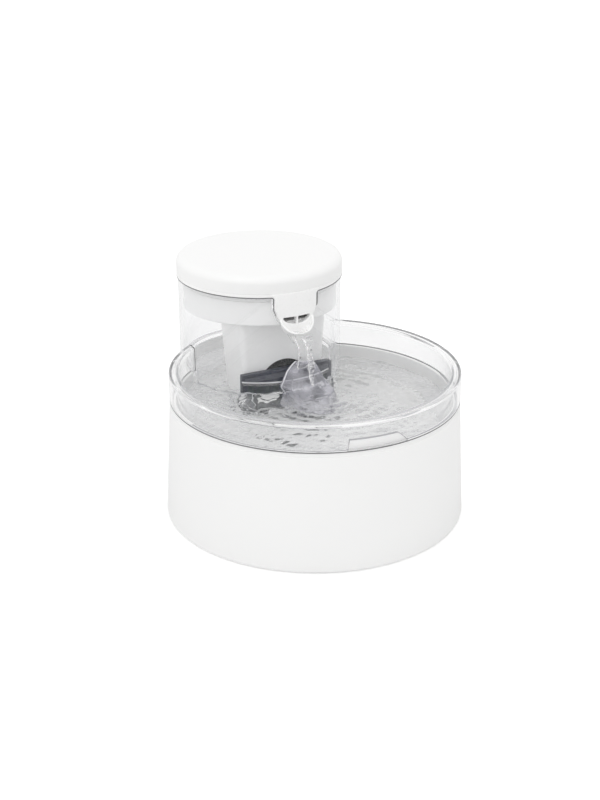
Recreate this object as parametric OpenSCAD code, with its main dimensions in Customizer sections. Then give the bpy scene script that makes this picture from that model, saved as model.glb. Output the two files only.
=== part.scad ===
// Pet water fountain: a white drum base, a lift-out clear bowl, a clear filter tower
// that stands behind the bowl's rim, and a white upper basin with a spout and a lid.
// Origin: on the table, under the middle of the whole footprint. +Y points from the
// drinking side to the tower, +Z is up. Millimetres.

/* [Drum base] */
// Outer radius of the drum at the table
base_r = 106.5; // [104:0.5:120]
// Height of the drum's shoulder, where the clear skirt begins
shoulder_z = 83.7; // [76:0.1:95]
// Wall of the white housing
base_wall = 2.6; // [2:0.1:3.5]
// How far the rear lobe stands out beyond the tower at the table
lobe_flare = 2.5; // [1.5:0.1:6]
// Height of the underside of the deck between the dry bay and the bowl
deck_z = 28; // [26:0.5:34]
// Thickness of the deck
deck_t = 2.5; // [2:0.1:4]
// Height of the lip inside the skirt above the shoulder
lip_h = 3.3; // [2:0.1:6]
// Thickness of the lip
lip_t = 2.6; // [1.5:0.1:2.6]
// Extra height of the raised tab at the front of the lip
front_tab_h = 7.5; // [3:0.5:10]
// Width of the raised tab at its top
front_tab_w = 33; // [20:1:60]
// How far the tab's middle lies right of the drum's axis
front_tab_x = -9.5; // [-12:0.5:12]
// Thickness of the rubber feet below the housing
foot_h = 1.2; // [0.8:0.1:3]
// Radius of a rubber foot
foot_r = 8; // [5:0.5:10]
// Thickness of the bottom cover
cover_t = 2.5; // [2:0.1:3]

/* [Power socket] */
// Height of the socket's axis above the table
socket_z = 14; // [13:0.5:16]
// Radius of the recess round the socket
socket_recess_r = 6; // [5:0.25:7]
// Depth of the recess
socket_recess_depth = 8; // [5:0.5:12]
// Radius of the socket's barrel
socket_barrel_r = 4; // [3.5:0.25:4.5]

/* [Drive] */
// Distance of the pump's axis behind the drum's axis
pump_dy = 76; // [74:0.5:78]
// Radius of the motor's can
motor_r = 15; // [12:0.5:16]
// Height of the motor's can
motor_h = 15; // [10:0.5:15]
// Radius of the drive shaft
shaft_r = 1.5; // [1:0.1:2]
// Radius of the drive magnet
drive_magnet_r = 12; // [8:0.5:14]
// Thickness of the drive magnet
drive_magnet_t = 3.6; // [2:0.2:3.6]

/* [Bowl] */
// Outer radius of the clear rim and skirt
rim_r = 102.5; // [100:0.5:103.5]
// Height of the rim's top above the table
rim_top = 106; // [102:0.5:115]
// Overall width of the rim's rounded top
rim_w = 7.3; // [7:0.1:9]
// Wall of the clear plastic
clear_wall = 2.1; // [1.6:0.1:2.2]
// Thickness of the bowl's floor
floor_t = 2.5; // [2:0.1:4]
// Height of the ledge that the tower stands on
ledge_z = 87; // [86.5:0.1:89]
// Thickness of the ledge
ledge_t = 3; // [2:0.1:3]
// Radius of the pin that the impeller turns on
pin_r = 1.5; // [1:0.1:1.8]

/* [Tower] */
// Distance of the tower's axis behind the drum's axis
tower_dy = 88; // [86:0.5:90]
// Outer radius of the clear tower
tower_r = 60; // [59.5:0.1:60.2]
// Wall of the tower
tower_wall = 2.4; // [2:0.1:2.6]
// Height of the tower's top edge
tower_top = 151; // [144:0.1:162]
// Lower edge of the water inlet in the tower's front wall
inlet_low_z = 42; // [38:1:50]
// Upper edge of the water inlet
inlet_top_z = 76; // [66:1:80]
// Half width of the water inlet
inlet_half_w = 31; // [24:1:32]

/* [Filter] */
// Gap between each side of the filter cartridge and the tower's wall
filter_side_gap = 0.95; // [0.9:0.05:4]
// Thickness of the cartridge
filter_t = 4.6; // [3:0.1:4.6]
// Height of the cartridge's top edge
filter_top = 90.5; // [84:0.5:98]
// Depth of the cartridge's top rail
filter_rail_h = 8.5; // [5:0.5:12]
// Radius of the ribbed cap on the cartridge's face
filter_cap_r = 8; // [5:0.5:9]

/* [Pump] */
// Outer radius of the pump cover
pump_cover_r = 18; // [17:0.25:18]
// Height of the pump cover above the bowl's floor
pump_cover_h = 19; // [17:0.5:22]
// Radius of the impeller
impeller_r = 12; // [9:0.5:13]
// Number of impeller blades
blade_count = 7; // [5:1:9]
// Radius of the round top of the foam sleeve's face
foam_arch_r = 20; // [16:0.5:21]
// Height of the foam's top
foam_top = 95.5; // [88:0.5:102]

/* [Upper basin] */
// Height of the basin's lower edge
basin_low_z = 129; // [124:0.5:134]
// Thickness of the basin's floor
basin_floor_t = 2.4; // [2:0.1:3]
// Height of the wider band at the top of the basin's collar
collar_band_h = 3.6; // [2:0.1:6]
// Gap between the shroud's front corners and the basin's edge
shroud_side_gap = 5.7; // [4.7:0.1:8]
// How much narrower each side of the shroud is at its lower end
shroud_taper = 6.5; // [4:0.1:7]
// Distance of the shroud's flat front behind the drum's axis
shroud_front_dy = 48.5; // [48.5:0.1:49]
// Height of the shroud's lower edge
shroud_low_z = 45; // [42:1:60]
// Wall of the shroud
shroud_wall = 2.2; // [1.6:0.1:2.2]
// Outer radius of the riser tube
riser_r = 9.2; // [8.8:0.1:10]
// Height of the riser tube's mouth
riser_top = 137; // [134:0.5:140]

/* [Spout] */
// Height of the trim ring that carries the spout
ring_h = 2.4; // [2:0.1:4]
// Half width of the spout's shield at its top
spout_half_w = 16.5; // [14:0.5:18]
// Height of the spout's lower tip
spout_tip_z = 114.5; // [110:0.5:117]
// Height of the flat upper edge of the two outlets
outlet_top_z = 135.6; // [135:0.1:137]
// Depth of the outlets at the middle
outlet_h = 5.4; // [5:0.1:5.8]
// Half width of both outlets together
outlet_half_w = 10.7; // [9:0.1:11]
// Width of the web between the outlets
outlet_web = 1.4; // [1:0.1:2]
// Radius of the pouring lip's bowl
lip_bowl_r = 13.3; // [12:0.1:14]
// Forward reach of the pouring lip in front of the tower
lip_reach = 9; // [6:0.5:10]

/* [Lid] */
// How far the lid stands out beyond the tower
lid_overhang = 1; // [0.5:0.1:3]
// Height of the lid above its seat
lid_h = 11.3; // [9:0.1:20]
// Radius of the lid's rounded edge
lid_edge_r = 4; // [2:0.5:5]
// Wall of the lid
lid_wall = 2.6; // [2:0.1:3]
// Depth of the lid's soft plug inside the basin
lid_plug_h = 5.5; // [4.5:0.1:8]

/* [Splash ramp] */
// Height of the ramp's top where it leans on the tower
ramp_top = 101; // [96:0.5:106]
// Half width of the ramp at the water line
ramp_half_w = 19; // [14:0.5:22]
// Reach of the ramp in front of the tower at the water line
ramp_reach = 24; // [16:1:32]
// How far the ramp's nose is turned to the right at the water line
ramp_turn = 8; // [0:0.5:10]
// Wall of the ramp
ramp_wall = 1.8; // [1.2:0.1:2.5]
// Water level above the table
water_z = 79; // [74:0.5:84]

/* [Fits] */
// Gap between parts that lift off one another
fit_gap = 0.4; // [0.3:0.05:0.4]
// Gap between seated parts
seat_gap = 0.3; // [0.2:0.05:0.4]
// Radial gap of a shaft in its bush
running_gap = 0.05; // [0.02:0.01:0.1]

/* [Hidden] */
$fn = 96;
far = 400;
eps = 0.01;

// Half width of a circle at a distance from its middle
function half_chord(r, d) = sqrt(r * r - d * d);

// Plan: the drum's axis and the tower's axis, so that the footprint is centred
lobe_low_r = tower_r + lobe_flare;
drum_y = -(tower_dy + lobe_low_r - base_r) / 2;
tower_y = drum_y + tower_dy;
pump_y = drum_y + pump_dy;

// Drum base
lobe_top_r = tower_r + 1;
deck_top = deck_z + deck_t;
skirt_z = shoulder_z + seat_gap;
skirt_inner_r = rim_r - clear_wall;
lip_r = skirt_inner_r - seat_gap;
lip_inner_r = lip_r - lip_t;
lip_z = shoulder_z + lip_h;
lip_root = 6;
tab_step = 1;
tab_slope = 11;
cover_top = foot_h + cover_t;
draft = (base_r - rim_r) / (shoulder_z - foot_h);
lobe_draft = (lobe_low_r - lobe_top_r) / (shoulder_z - foot_h);
screw_r = 1.5;
screw_head_r = 3;
screw_head_t = 1.1;
screw_l = 15;
boss_r = 4.2;
screw_ring = base_r - 16;
cover_screw_places = concat(
    [for (a = [-150, -90, -30, 45, 135]) [screw_ring * cos(a), drum_y + screw_ring * sin(a)]],
    [[-38, tower_y + 34], [38, tower_y + 34]]);
foot_ring = base_r - 20;
foot_places = concat(
    [for (a = [-125, -55, 20, 160]) [foot_ring * cos(a), drum_y + foot_ring * sin(a)]],
    [[0, tower_y + 48]]);

// Dry bay
bracket_t = 1.2;
bracket_z = cover_top + screw_head_t + 0.4;
motor_z = bracket_z + bracket_t;
motor_top = motor_z + motor_h;
motor_screw_x = motor_r + 7;
drive_magnet_z = deck_z - 0.6 - drive_magnet_t;
board_size = [62, 38, 1.6];
board_y = drum_y - 20;
board_z = 10;
board_hole = [26, 14];
socket_axis_r = lobe_low_r - lobe_draft * (socket_z - foot_h);
socket_back_y = tower_y + socket_axis_r - socket_recess_depth;
socket_body = [11, 12, 10];
socket_boss_wall = 2;
socket_plate_t = 1.6;
lead_r = 1.1;
lead_lap = 0.8;

// Bowl
floor_z = deck_top + floor_t;
rim_inner_r = rim_r - rim_w;
wall_outer_r = rim_inner_r + 1.9;
rim_cap_z = rim_top - 2.2;
tank_taper = 0.8;
tank_corner = [16.4, 17];
ledge_outer_r = tower_r + 0.9;
ledge_low_z = ledge_z - ledge_t;
lobe_tank_r = tower_r - tower_wall - fit_gap;
lobe_cavity_r = lobe_tank_r - 2.3;
end_cap_t = 2;
pin_low = deck_top + 1;
pin_boss_r = 4;
pin_boss_h = 2;
pump_ring_t = 2;
pump_ring_h = 4;

// Tower
tower_inner_r = tower_r - tower_wall;
skirt_clear = 1.2;
tower_foot_z = floor_z + fit_gap;
rail_t = 2.2;
shelf_h = 2.4;

// Filter
filter_y1 = drum_y + shroud_front_dy - 0.5;
filter_y0 = filter_y1 - filter_t;
filter_half_w = half_chord(tower_inner_r, tower_y - filter_y0) - filter_side_gap;
filter_low = tower_foot_z + shelf_h;
filter_border = 4;
pad_inset = 0.8;
filter_cap_x = -15.7;
filter_cap_z = 59.5;
filter_cap_t = 1.4;
cap_rib_count = 16;
cap_rib_rise = 0.6;
cap_rib_t = 1;

// Pump
magnet_z = floor_z + pin_boss_h + 0.4;
impeller_magnet_r = impeller_r - 2;
impeller_magnet_t = 4.4;
impeller_disc_z = magnet_z + impeller_magnet_t;
impeller_disc_t = 1.4;
blade_h = 4;
blade_t = 1.1;
hub_r = 4.2;
blade_curve_r = 8;
bush_r = 3;
bush_top = impeller_disc_z + impeller_disc_t + blade_h + 0.4;
pin_top = bush_top + 1.5;
pump_cover_top = floor_z + pump_cover_h;
pump_wall = 2.2;
spigot_r = riser_r - 4.2;
spigot_bore_r = spigot_r - 1.8;
spigot_top = pump_cover_top + 24;
pump_lift = 12;
foam_y0 = drum_y + shroud_front_dy + shroud_wall + seat_gap;
foam_y1 = pump_y - pump_cover_r - seat_gap;
foam_arch_z = foam_top - foam_arch_r;

// Upper basin
collar_r = tower_inner_r - fit_gap;
collar_low_r = collar_r - 0.5;
collar_inner_r = collar_r - 2;
ring_z = tower_top + seat_gap;
ring_top = ring_z + ring_h;
ring_r = tower_r + lid_overhang;
basin_floor_top = basin_low_z + basin_floor_t;
riser_bore_r = riser_r - 2;
riser_low = pump_cover_top + pump_lift + 2;
shroud_top_half_w = half_chord(collar_low_r, tower_dy - shroud_front_dy) - shroud_side_gap;
shroud_low_half_w = shroud_top_half_w - shroud_taper;
shroud_back_dy = 75;
shroud_arch_r = foam_arch_r + 0.5;

// Spout
spout_neck_z = tower_top - 9.5;
spout_corner_r = 2;
spout_plate_r = tower_r + 1.4;
lip_bowl_z = outlet_top_z - 1.6;
lip_wall = 1.5;

// Lid
lid_z = ring_top;
lid_r = tower_r + lid_overhang;
lid_shadow_gap = 0.2;
lid_top = lid_z + lid_h;
lid_skirt_t = 3.6;
plug_r = collar_inner_r - 2.6;
plug_t = 2.2;

// Splash ramp: height, shift to the right, half width and reach of its layers, crown first
ramp_face_y = tower_y - tower_r - fit_gap;
ramp_low_z = water_z - 22;
ramp_layers = [
    [ramp_top, ramp_turn * 0.55, ramp_half_w * 0.35, ramp_reach * 0.11],
    [ramp_top - 2.5, ramp_turn * 0.53, ramp_half_w * 0.5, ramp_reach * 0.25],
    [ramp_top - 6, ramp_turn * 0.5, ramp_half_w * 0.66, ramp_reach * 0.4],
    [water_z + 5, ramp_turn * 0.55, ramp_half_w * 0.96, ramp_reach * 0.75],
    [water_z, ramp_turn, ramp_half_w, ramp_reach],
    [ramp_low_z, ramp_turn + 1, ramp_half_w + 1, ramp_reach + 2]];

// Radius of the drum and of the lobe at a height
function drum_r_at(z) = base_r - draft * (z - foot_h);
function lobe_r_at(z) = lobe_low_r - lobe_draft * (z - foot_h);

// Points of an arc, centre c, from angle a0 to a1, both ends included
function arc(c, r, a0, a1, n = 5) =
    [for (i = [0:n]) let (a = a0 + (a1 - a0) * i / n) [c.x + r * cos(a), c.y + r * sin(a)]];

// Quarter of an ellipse that rounds the tank's lower corner, from the floor up
function tank_bend(r, z) =
    [for (i = [0:6]) let (a = 90 * i / 6)
        [r - tank_corner.x + tank_corner.x * sin(a), z + tank_corner.y * (1 - cos(a))]];

module at_drum() translate([0, drum_y, 0]) children();
module at_tower() translate([0, tower_y, 0]) children();
module at_pump() translate([0, pump_y, 0]) children();

// Keyhole-shaped drafted solid: the drum and lobe, set in by a wall
module keyhole(inset, z0, z1) {
    at_drum() translate([0, 0, z0])
        cylinder(r1 = drum_r_at(z0) - inset, r2 = drum_r_at(z1) - inset, h = z1 - z0, $fn = 180);
    at_tower() translate([0, 0, z0])
        cylinder(r1 = lobe_r_at(z0) - inset, r2 = lobe_r_at(z1) - inset, h = z1 - z0, $fn = 180);
}

module tube(outer, inner, z0, z1) {
    translate([0, 0, z0]) difference() {
        cylinder(r = outer, h = z1 - z0);
        translate([0, 0, -1]) cylinder(r = inner, h = z1 - z0 + 2);
    }
}

module rod(r, z0, z1) translate([0, 0, z0]) cylinder(r = r, h = z1 - z0);

// Pan head screw driven upwards, its head's underside at height z
module screw_up(z, length, r = screw_r, head_r = screw_head_r) {
    difference() {
        rod(head_r, z - screw_head_t, z);
        translate([0, 0, z - screw_head_t - eps]) {
            translate([-head_r * 0.6, -0.35, 0]) cube([head_r * 1.2, 0.7, 0.6]);
            translate([-0.35, -head_r * 0.6, 0]) cube([0.7, head_r * 1.2, 0.6]);
        }
    }
    rod(r, z - eps, z + length);
}

// ---------------------------------------------------------------- base

module lip_ring() {
    tab_left = front_tab_x - front_tab_w / 2;
    tab_right = front_tab_x + front_tab_w / 2;
    at_drum() {
        tube(lip_r, lip_inner_r, shoulder_z - 1, lip_z);
        tube(drum_r_at(shoulder_z - lip_root) - base_wall / 2, lip_inner_r,
            shoulder_z - lip_root, shoulder_z);
        intersection() {
            tube(lip_r, lip_inner_r, lip_z - 1, lip_z + front_tab_h);
            rotate([90, 0, 0]) linear_extrude(rim_r) polygon([
                [tab_left - tab_step, lip_z - 1], [tab_left - tab_step, lip_z],
                [tab_left, lip_z + front_tab_h], [tab_right, lip_z + front_tab_h],
                [tab_right + tab_slope, lip_z], [tab_right + tab_slope, lip_z - 1]]);
        }
    }
}

module base_housing() color("#f2f2f1") difference() {
    union() {
        difference() {
            keyhole(0, foot_h, shoulder_z);
            keyhole(base_wall, foot_h - 1, deck_z);
            keyhole(base_wall, deck_top, shoulder_z + 1);
        }
        difference() {
            lip_ring();
            at_tower() rod(tower_r + fit_gap + end_cap_t + fit_gap, shoulder_z - lip_root - 1, far);
        }
        for (p = cover_screw_places) translate([p.x, p.y, 0]) rod(boss_r, cover_top, deck_z + eps);
        for (s = [-1, 1]) translate([s * motor_screw_x, pump_y, 0]) rod(boss_r, motor_z, deck_z + eps);
        for (sx = [-1, 1], sy = [-1, 1])
            translate([sx * board_hole.x, board_y + sy * board_hole.y, 0])
                rod(3, board_z + board_size.z, deck_z + eps);
        intersection() {
            translate([0, socket_back_y - socket_plate_t, socket_z]) rotate([-90, 0, 0])
                cylinder(r = socket_recess_r + socket_boss_wall, h = far);
            keyhole(base_wall / 2, foot_h, deck_z + 1);
        }
    }
    for (p = cover_screw_places) translate([p.x, p.y, 0])
        rod(screw_r + running_gap, foot_h, foot_h + screw_head_t + screw_l + 2);
    for (s = [-1, 1]) translate([s * motor_screw_x, pump_y, 0])
        rod(screw_r + running_gap, bracket_z, bracket_z + 12);
    for (sx = [-1, 1], sy = [-1, 1]) translate([sx * board_hole.x, board_y + sy * board_hole.y, 0])
        rod(1.2 + running_gap, board_z, board_z + 9);
    translate([0, socket_back_y, socket_z]) rotate([-90, 0, 0])
        cylinder(r = socket_recess_r, h = far);
    translate([0, socket_back_y - socket_plate_t - 1, socket_z]) rotate([-90, 0, 0])
        cylinder(r = socket_barrel_r + running_gap, h = far);
}

module bottom_cover() color("#e6e6e5") difference() {
    intersection() {
        keyhole(base_wall + seat_gap + draft * cover_t, foot_h, foot_h + cover_t);
        translate([-far / 2, -far / 2, foot_h]) cube([far, far, cover_t]);
    }
    for (p = cover_screw_places) translate([p.x, p.y, 0]) {
        rod(screw_r + 0.2, foot_h - 1, cover_top + 1);
        rod(screw_head_r + 0.4, foot_h - 1, foot_h + screw_head_t + 0.2);
    }
    for (i = [-4:4]) translate([i * 6 - 1, pump_y - 12, foot_h - 1]) cube([2, 24, cover_t + 2]);
}

module rubber_feet() color("#3a3b3d")
    for (p = foot_places) translate([p.x, p.y, 0]) rod(foot_r, 0, foot_h);

module cover_screws() color("#c9cbcd")
    for (p = cover_screw_places) translate([p.x, p.y, 0])
        screw_up(foot_h + screw_head_t + 0.2, screw_l);

module motor_can() color("#b9bcc0") at_pump() difference() {
    union() {
        rod(motor_r, motor_z, motor_top);
        rod(shaft_r + 2.5, motor_top - eps, motor_top + 1.2);
        for (a = [0:45:315]) rotate(a) translate([motor_r - 0.6, -1.5, motor_z + 4]) cube([1, 3, 6]);
    }
    rod(shaft_r + running_gap, motor_z + 1, far);
}

module motor_bracket() color("#a8abaf") translate([0, pump_y, bracket_z]) difference() {
    union() {
        cylinder(r = motor_r - 1, h = bracket_t);
        translate([-motor_screw_x, -4.5, 0]) cube([2 * motor_screw_x, 9, bracket_t]);
        for (s = [-1, 1]) translate([s * motor_screw_x, 0, 0]) cylinder(r = 4.5, h = bracket_t);
    }
    for (s = [-1, 1]) translate([s * motor_screw_x, 0, -1]) cylinder(r = screw_r + 0.2, h = bracket_t + 2);
    translate([0, 0, -1]) cylinder(r = 4, h = bracket_t + 2);
}

module bracket_screws() color("#c9cbcd")
    for (s = [-1, 1]) translate([s * motor_screw_x, pump_y, 0]) screw_up(bracket_z, 10);

module control_board() color("#2f6b45") translate([0, board_y, board_z]) difference() {
    translate([-board_size.x / 2, -board_size.y / 2, 0]) cube(board_size);
    for (sx = [-1, 1], sy = [-1, 1]) translate([sx * board_hole.x, sy * board_hole.y, -1])
        cylinder(r = 1.4, h = board_size.z + 2);
}

module board_parts() color("#26282b") translate([0, board_y, board_z + board_size.z]) {
    translate([-8, -6, 0]) cube([12, 12, 2]);
    translate([10, -8, 0]) cube([8, 5, 1.6]);
    translate([-20, 2, 0]) cube([5, 8, 3]);
    for (x = [10, 19]) translate([x, 6, 0]) cylinder(r = 3.2, h = 9);
    for (i = [0:3]) translate([-21 + 4 * i, -13, 0]) cube([1.6, 3.2, 1]);
    translate([-5, 12, 0]) cube([10, 6, 5]);
}

module board_screws() color("#c9cbcd")
    for (sx = [-1, 1], sy = [-1, 1]) translate([sx * board_hole.x, board_y + sy * board_hole.y, 0])
        screw_up(board_z, 8, 1.2, 2.4);

module dc_socket() color("#2b2c2e") translate([0, socket_back_y - socket_plate_t, socket_z]) {
    difference() {
        union() {
            translate([-socket_body.x / 2, -socket_body.y, -socket_body.z / 2]) cube(socket_body);
            rotate([-90, 0, 0]) cylinder(r = socket_barrel_r, h = socket_plate_t);
        }
        rotate([90, 0, 0]) translate([0, 0, -5]) cylinder(r = 2.8, h = 5 + 9);
    }
    translate([0, -9.5, 0]) rotate([-90, 0, 0]) cylinder(r = 1, h = 9);
}

// A lead is straight eight-sided runs of wire that lap each other at the corners
module lead(points) for (i = [0:len(points) - 2]) {
    d = points[i + 1] - points[i];
    run = norm(d);
    translate(points[i])
        rotate([0, acos(d.z / run), atan2(d.y, d.x)]) translate([0, 0, i > 0 ? -lead_lap : 0])
            rotate(22.5) cylinder(r = lead_r, h = run + (i > 0 ? lead_lap : 0), $fn = 8);
}

module wire_leads() color("#8c2f2c") {
    lead_z = board_z + board_size.z + lead_r + 1;
    for (s = [-1, 1]) {
        lead([[s * 3, board_y + 18.4, lead_z], [s * 3, pump_y - motor_r - 12, lead_z],
            [s * 3, pump_y - motor_r - 0.6, lead_z]]);
        lead([[s * 1.6, socket_back_y - socket_plate_t - socket_body.y - 0.4, socket_z],
            [s * 1.6, pump_y + motor_r + 8, socket_z],
            [s * (motor_screw_x + 9), pump_y, socket_z],
            [s * (motor_screw_x + 2), board_y + board_size.y - 8, lead_z],
            [s * 12, board_y + 19.6, lead_z]]);
    }
}

module drive_shaft() color("#d5d7d9") at_pump()
    rod(shaft_r, motor_z + 1.4, drive_magnet_z + drive_magnet_t);

module drive_magnet() color("#4a4c50") at_pump()
    tube(drive_magnet_r, shaft_r + 0.02, drive_magnet_z, drive_magnet_z + drive_magnet_t);

// ---------------------------------------------------------------- bowl

// Cavity of the drum's tank; grow moves its wall outwards
module drum_cavity(grow, top) at_drum() rotate_extrude($fn = 180) polygon(concat(
    [[0, floor_z]], tank_bend(rim_inner_r - tank_taper + grow, floor_z),
    [[rim_inner_r + grow, rim_top - 1.6], [rim_inner_r + grow, top], [0, top]]));

module lobe_cavity(grow, top) at_tower() rotate_extrude() polygon([
    [0, floor_z], [lobe_cavity_r - 2 + grow, floor_z], [lobe_cavity_r + grow, floor_z + 2],
    [lobe_cavity_r + grow, top], [0, top]]);

module bowl_drum_form() at_drum() rotate_extrude($fn = 180) polygon(concat(
    [[0, deck_top]], tank_bend(wall_outer_r - tank_taper, deck_top),
    [[wall_outer_r, rim_cap_z], [skirt_inner_r, rim_cap_z], [skirt_inner_r, skirt_z],
     [rim_r, skirt_z]],
    arc([rim_r - 1.4, rim_top - 1.4], 1.4, 0, 90),
    arc([rim_inner_r + 1.6, rim_top - 1.6], 1.6, 90, 180), [[0, rim_top - 1.6]]));

module bowl_lobe_form() at_tower() rotate_extrude($fn = 144) polygon([
    [0, deck_top], [lobe_tank_r - 2, deck_top], [lobe_tank_r, deck_top + 2],
    [lobe_tank_r, ledge_low_z], [ledge_outer_r, ledge_low_z], [ledge_outer_r, ledge_z],
    [0, ledge_z]]);

// Walls that close the open ends of the rim's channel beside the tower
module rim_end_caps() intersection() {
    at_drum() tube(skirt_inner_r + 1, wall_outer_r - 1, skirt_z, rim_top - 2);
    at_tower() tube(tower_r + fit_gap + end_cap_t, tower_r - 1, skirt_z, rim_top - 2);
}

module bowl() color("#dfe5ea", 0.35) {
    difference() {
        union() {
            difference() {
                union() {
                    bowl_drum_form();
                    bowl_lobe_form();
                    rim_end_caps();
                }
                drum_cavity(0, rim_top + 1);
                lobe_cavity(0, rim_top + 1);
                at_tower() rod(tower_r + fit_gap, ledge_z, far);
            }
            at_pump() rod(pin_boss_r, floor_z - eps, floor_z + pin_boss_h);
            at_pump() tube(pump_cover_r + seat_gap + pump_ring_t, pump_cover_r + seat_gap,
                floor_z - eps, floor_z + pump_ring_h);
        }
        at_pump() rod(pin_r + 0.02, pin_low, far);
        translate([-foam_arch_r - seat_gap, foam_y0 - 4, floor_z])
            cube([2 * (foam_arch_r + seat_gap), foam_y1 - foam_y0 + 4 + seat_gap / 2, pump_ring_h + 1]);
    }
}

module impeller_pin() color("#d5d7d9") at_pump() rod(pin_r, pin_low, pin_top);

module impeller() color("#e9e9e7") at_pump() difference() {
    union() {
        rod(impeller_r, impeller_disc_z, impeller_disc_z + impeller_disc_t);
        rod(hub_r, impeller_disc_z, impeller_disc_z + impeller_disc_t + blade_h);
        for (i = [0:blade_count - 1]) rotate(i * 360 / blade_count)
            intersection() {
                translate([0, -blade_curve_r, 0])
                    tube(blade_curve_r + blade_t / 2, blade_curve_r - blade_t / 2,
                        impeller_disc_z + impeller_disc_t / 2, impeller_disc_z + impeller_disc_t + blade_h - 0.4);
                translate([0, -impeller_r, impeller_disc_z]) cube([impeller_r, 2 * impeller_r, 10]);
                rod(impeller_r - 0.3, impeller_disc_z, impeller_disc_z + 10);
            }
    }
    rod(bush_r + 0.02, impeller_disc_z - 1, far);
}

module impeller_magnet() color("#4a4c50") at_pump()
    tube(impeller_magnet_r, bush_r + 0.02, magnet_z, impeller_disc_z);

module impeller_bush() color("#f5f3ee") at_pump()
    tube(bush_r, pin_r + running_gap, floor_z + pin_boss_h + 0.2, bush_top);

module pump_cover() color("#eceeee") at_pump() difference() {
    union() {
        rod(pump_cover_r, floor_z, pump_cover_top);
        rod(spigot_r, pump_cover_top - eps, spigot_top);
    }
    rod(pump_cover_r - pump_wall, floor_z - 1, pump_cover_top - pump_wall);
    rod(spigot_bore_r, floor_z, far);
    for (i = [0:11]) rotate(15 + i * 30)
        translate([pump_cover_r - pump_wall - 1, -1.5, floor_z + pump_ring_h + 1]) cube([pump_wall + 2, 3, 7]);
}

module prefilter_foam() color("#1d1e20") translate([0, foam_y0, 0]) union() {
    translate([-foam_arch_r, 0, floor_z]) cube([2 * foam_arch_r, foam_y1 - foam_y0, foam_arch_z - floor_z]);
    translate([0, 0, foam_arch_z]) rotate([-90, 0, 0]) cylinder(r = foam_arch_r, h = foam_y1 - foam_y0);
}

// ---------------------------------------------------------------- tower

// Outline of the spout's shield seen from the front; grow widens it for the notch
function spout_side(side, grow, top) = concat(
    [[side * (spout_half_w + grow + spout_corner_r), top],
     [side * (spout_half_w + grow + spout_corner_r), ring_z]],
    [for (a = [75:-25:0]) [side * (spout_half_w + grow + spout_corner_r * (1 - cos(a))),
        ring_z - spout_corner_r * (1 - sin(a))]],
    [[side * (spout_half_w + grow), spout_neck_z],
     [side * (spout_half_w * 0.81 + grow), spout_neck_z - 8],
     [side * (spout_half_w * 0.49 + grow), spout_neck_z - 15.5],
     [side * (1.4 + grow), spout_tip_z - grow]]);
function reversed(points) = [for (i = [len(points) - 1:-1:0]) points[i]];
function spout_outline(grow, top) = concat(spout_side(-1, grow, top),
    reversed(spout_side(1, grow, top)));

module front_prism(points) at_tower() rotate([90, 0, 0]) linear_extrude(far / 2) polygon(points);

module guide_rail(side) {
    // front rail and rear rail of one side of the cartridge
    for (y = [filter_y0 - rail_t - seat_gap, filter_y1 + seat_gap])
        translate([side > 0 ? filter_half_w - (y < filter_y0 ? 3 : -0.5) : -far / 4, y, filter_low - 1])
            cube([far / 4 - (side > 0 ? 0 : filter_half_w - (y < filter_y0 ? 3 : -0.5)), rail_t,
                filter_top - filter_low - 2]);
}

module tower_shell() color("#dfe5ea", 0.3) difference() {
    union() {
        at_tower() tube(tower_r, tower_inner_r, ledge_z, tower_top);
        intersection() {
            union() {
                at_tower() tube(tower_r, tower_inner_r, tower_foot_z, ledge_z + 1);
                intersection() {
                    union() {
                        guide_rail(-1);
                        guide_rail(1);
                        translate([-far / 4, filter_y0 - 1.5, tower_foot_z])
                            cube([far / 2, filter_t + 1.5, shelf_h]);
                    }
                    at_tower() rod(tower_inner_r + 0.5, tower_foot_z, filter_top);
                }
            }
            drum_cavity(-skirt_clear, ledge_z + 1);
        }
    }
    front_prism(spout_outline(fit_gap, far));
    intersection() {
        translate([-inlet_half_w, tower_y - far, inlet_low_z])
            cube([2 * inlet_half_w, far - tower_r / 2, inlet_top_z - inlet_low_z]);
        at_tower() tube(tower_r + 1, tower_inner_r - 1, inlet_low_z, inlet_top_z);
    }
}

module filter_frame() color("#2f3550") difference() {
    translate([-filter_half_w, filter_y0, filter_low])
        cube([2 * filter_half_w, filter_t, filter_top - filter_low]);
    translate([-filter_half_w + filter_border, filter_y0 - 1, filter_low + filter_border])
        cube([2 * (filter_half_w - filter_border), filter_t + 2,
            filter_top - filter_rail_h - filter_low - filter_border]);
    translate([-filter_half_w + 2, filter_y0 - 1, filter_top - filter_rail_h + 2])
        cube([2 * filter_half_w - 4, 1.6, filter_rail_h - 4.5]);
}

module filter_pad() color("#44474f") {
    w = filter_half_w - filter_border - 0.1;
    translate([-w, filter_y0 + pad_inset, filter_low + filter_border + 0.1])
        cube([2 * w, filter_t - 2 * pad_inset, filter_top - filter_rail_h - filter_low - filter_border - 0.2]);
}

// Round cap on the cartridge's front, with ribs round its edge
module filter_cap() color("#f2f2f0")
    translate([filter_cap_x, filter_y0 + pad_inset, filter_cap_z]) rotate([90, 0, 0])
        linear_extrude(filter_cap_t + pad_inset) {
            circle(r = filter_cap_r - cap_rib_rise, $fn = 64);
            for (i = [0:cap_rib_count - 1]) rotate(i * 360 / cap_rib_count)
                translate([filter_cap_r - 2 * cap_rib_rise, -cap_rib_t / 2])
                    square([2 * cap_rib_rise, cap_rib_t]);
        }

// ---------------------------------------------------------------- upper basin

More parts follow.
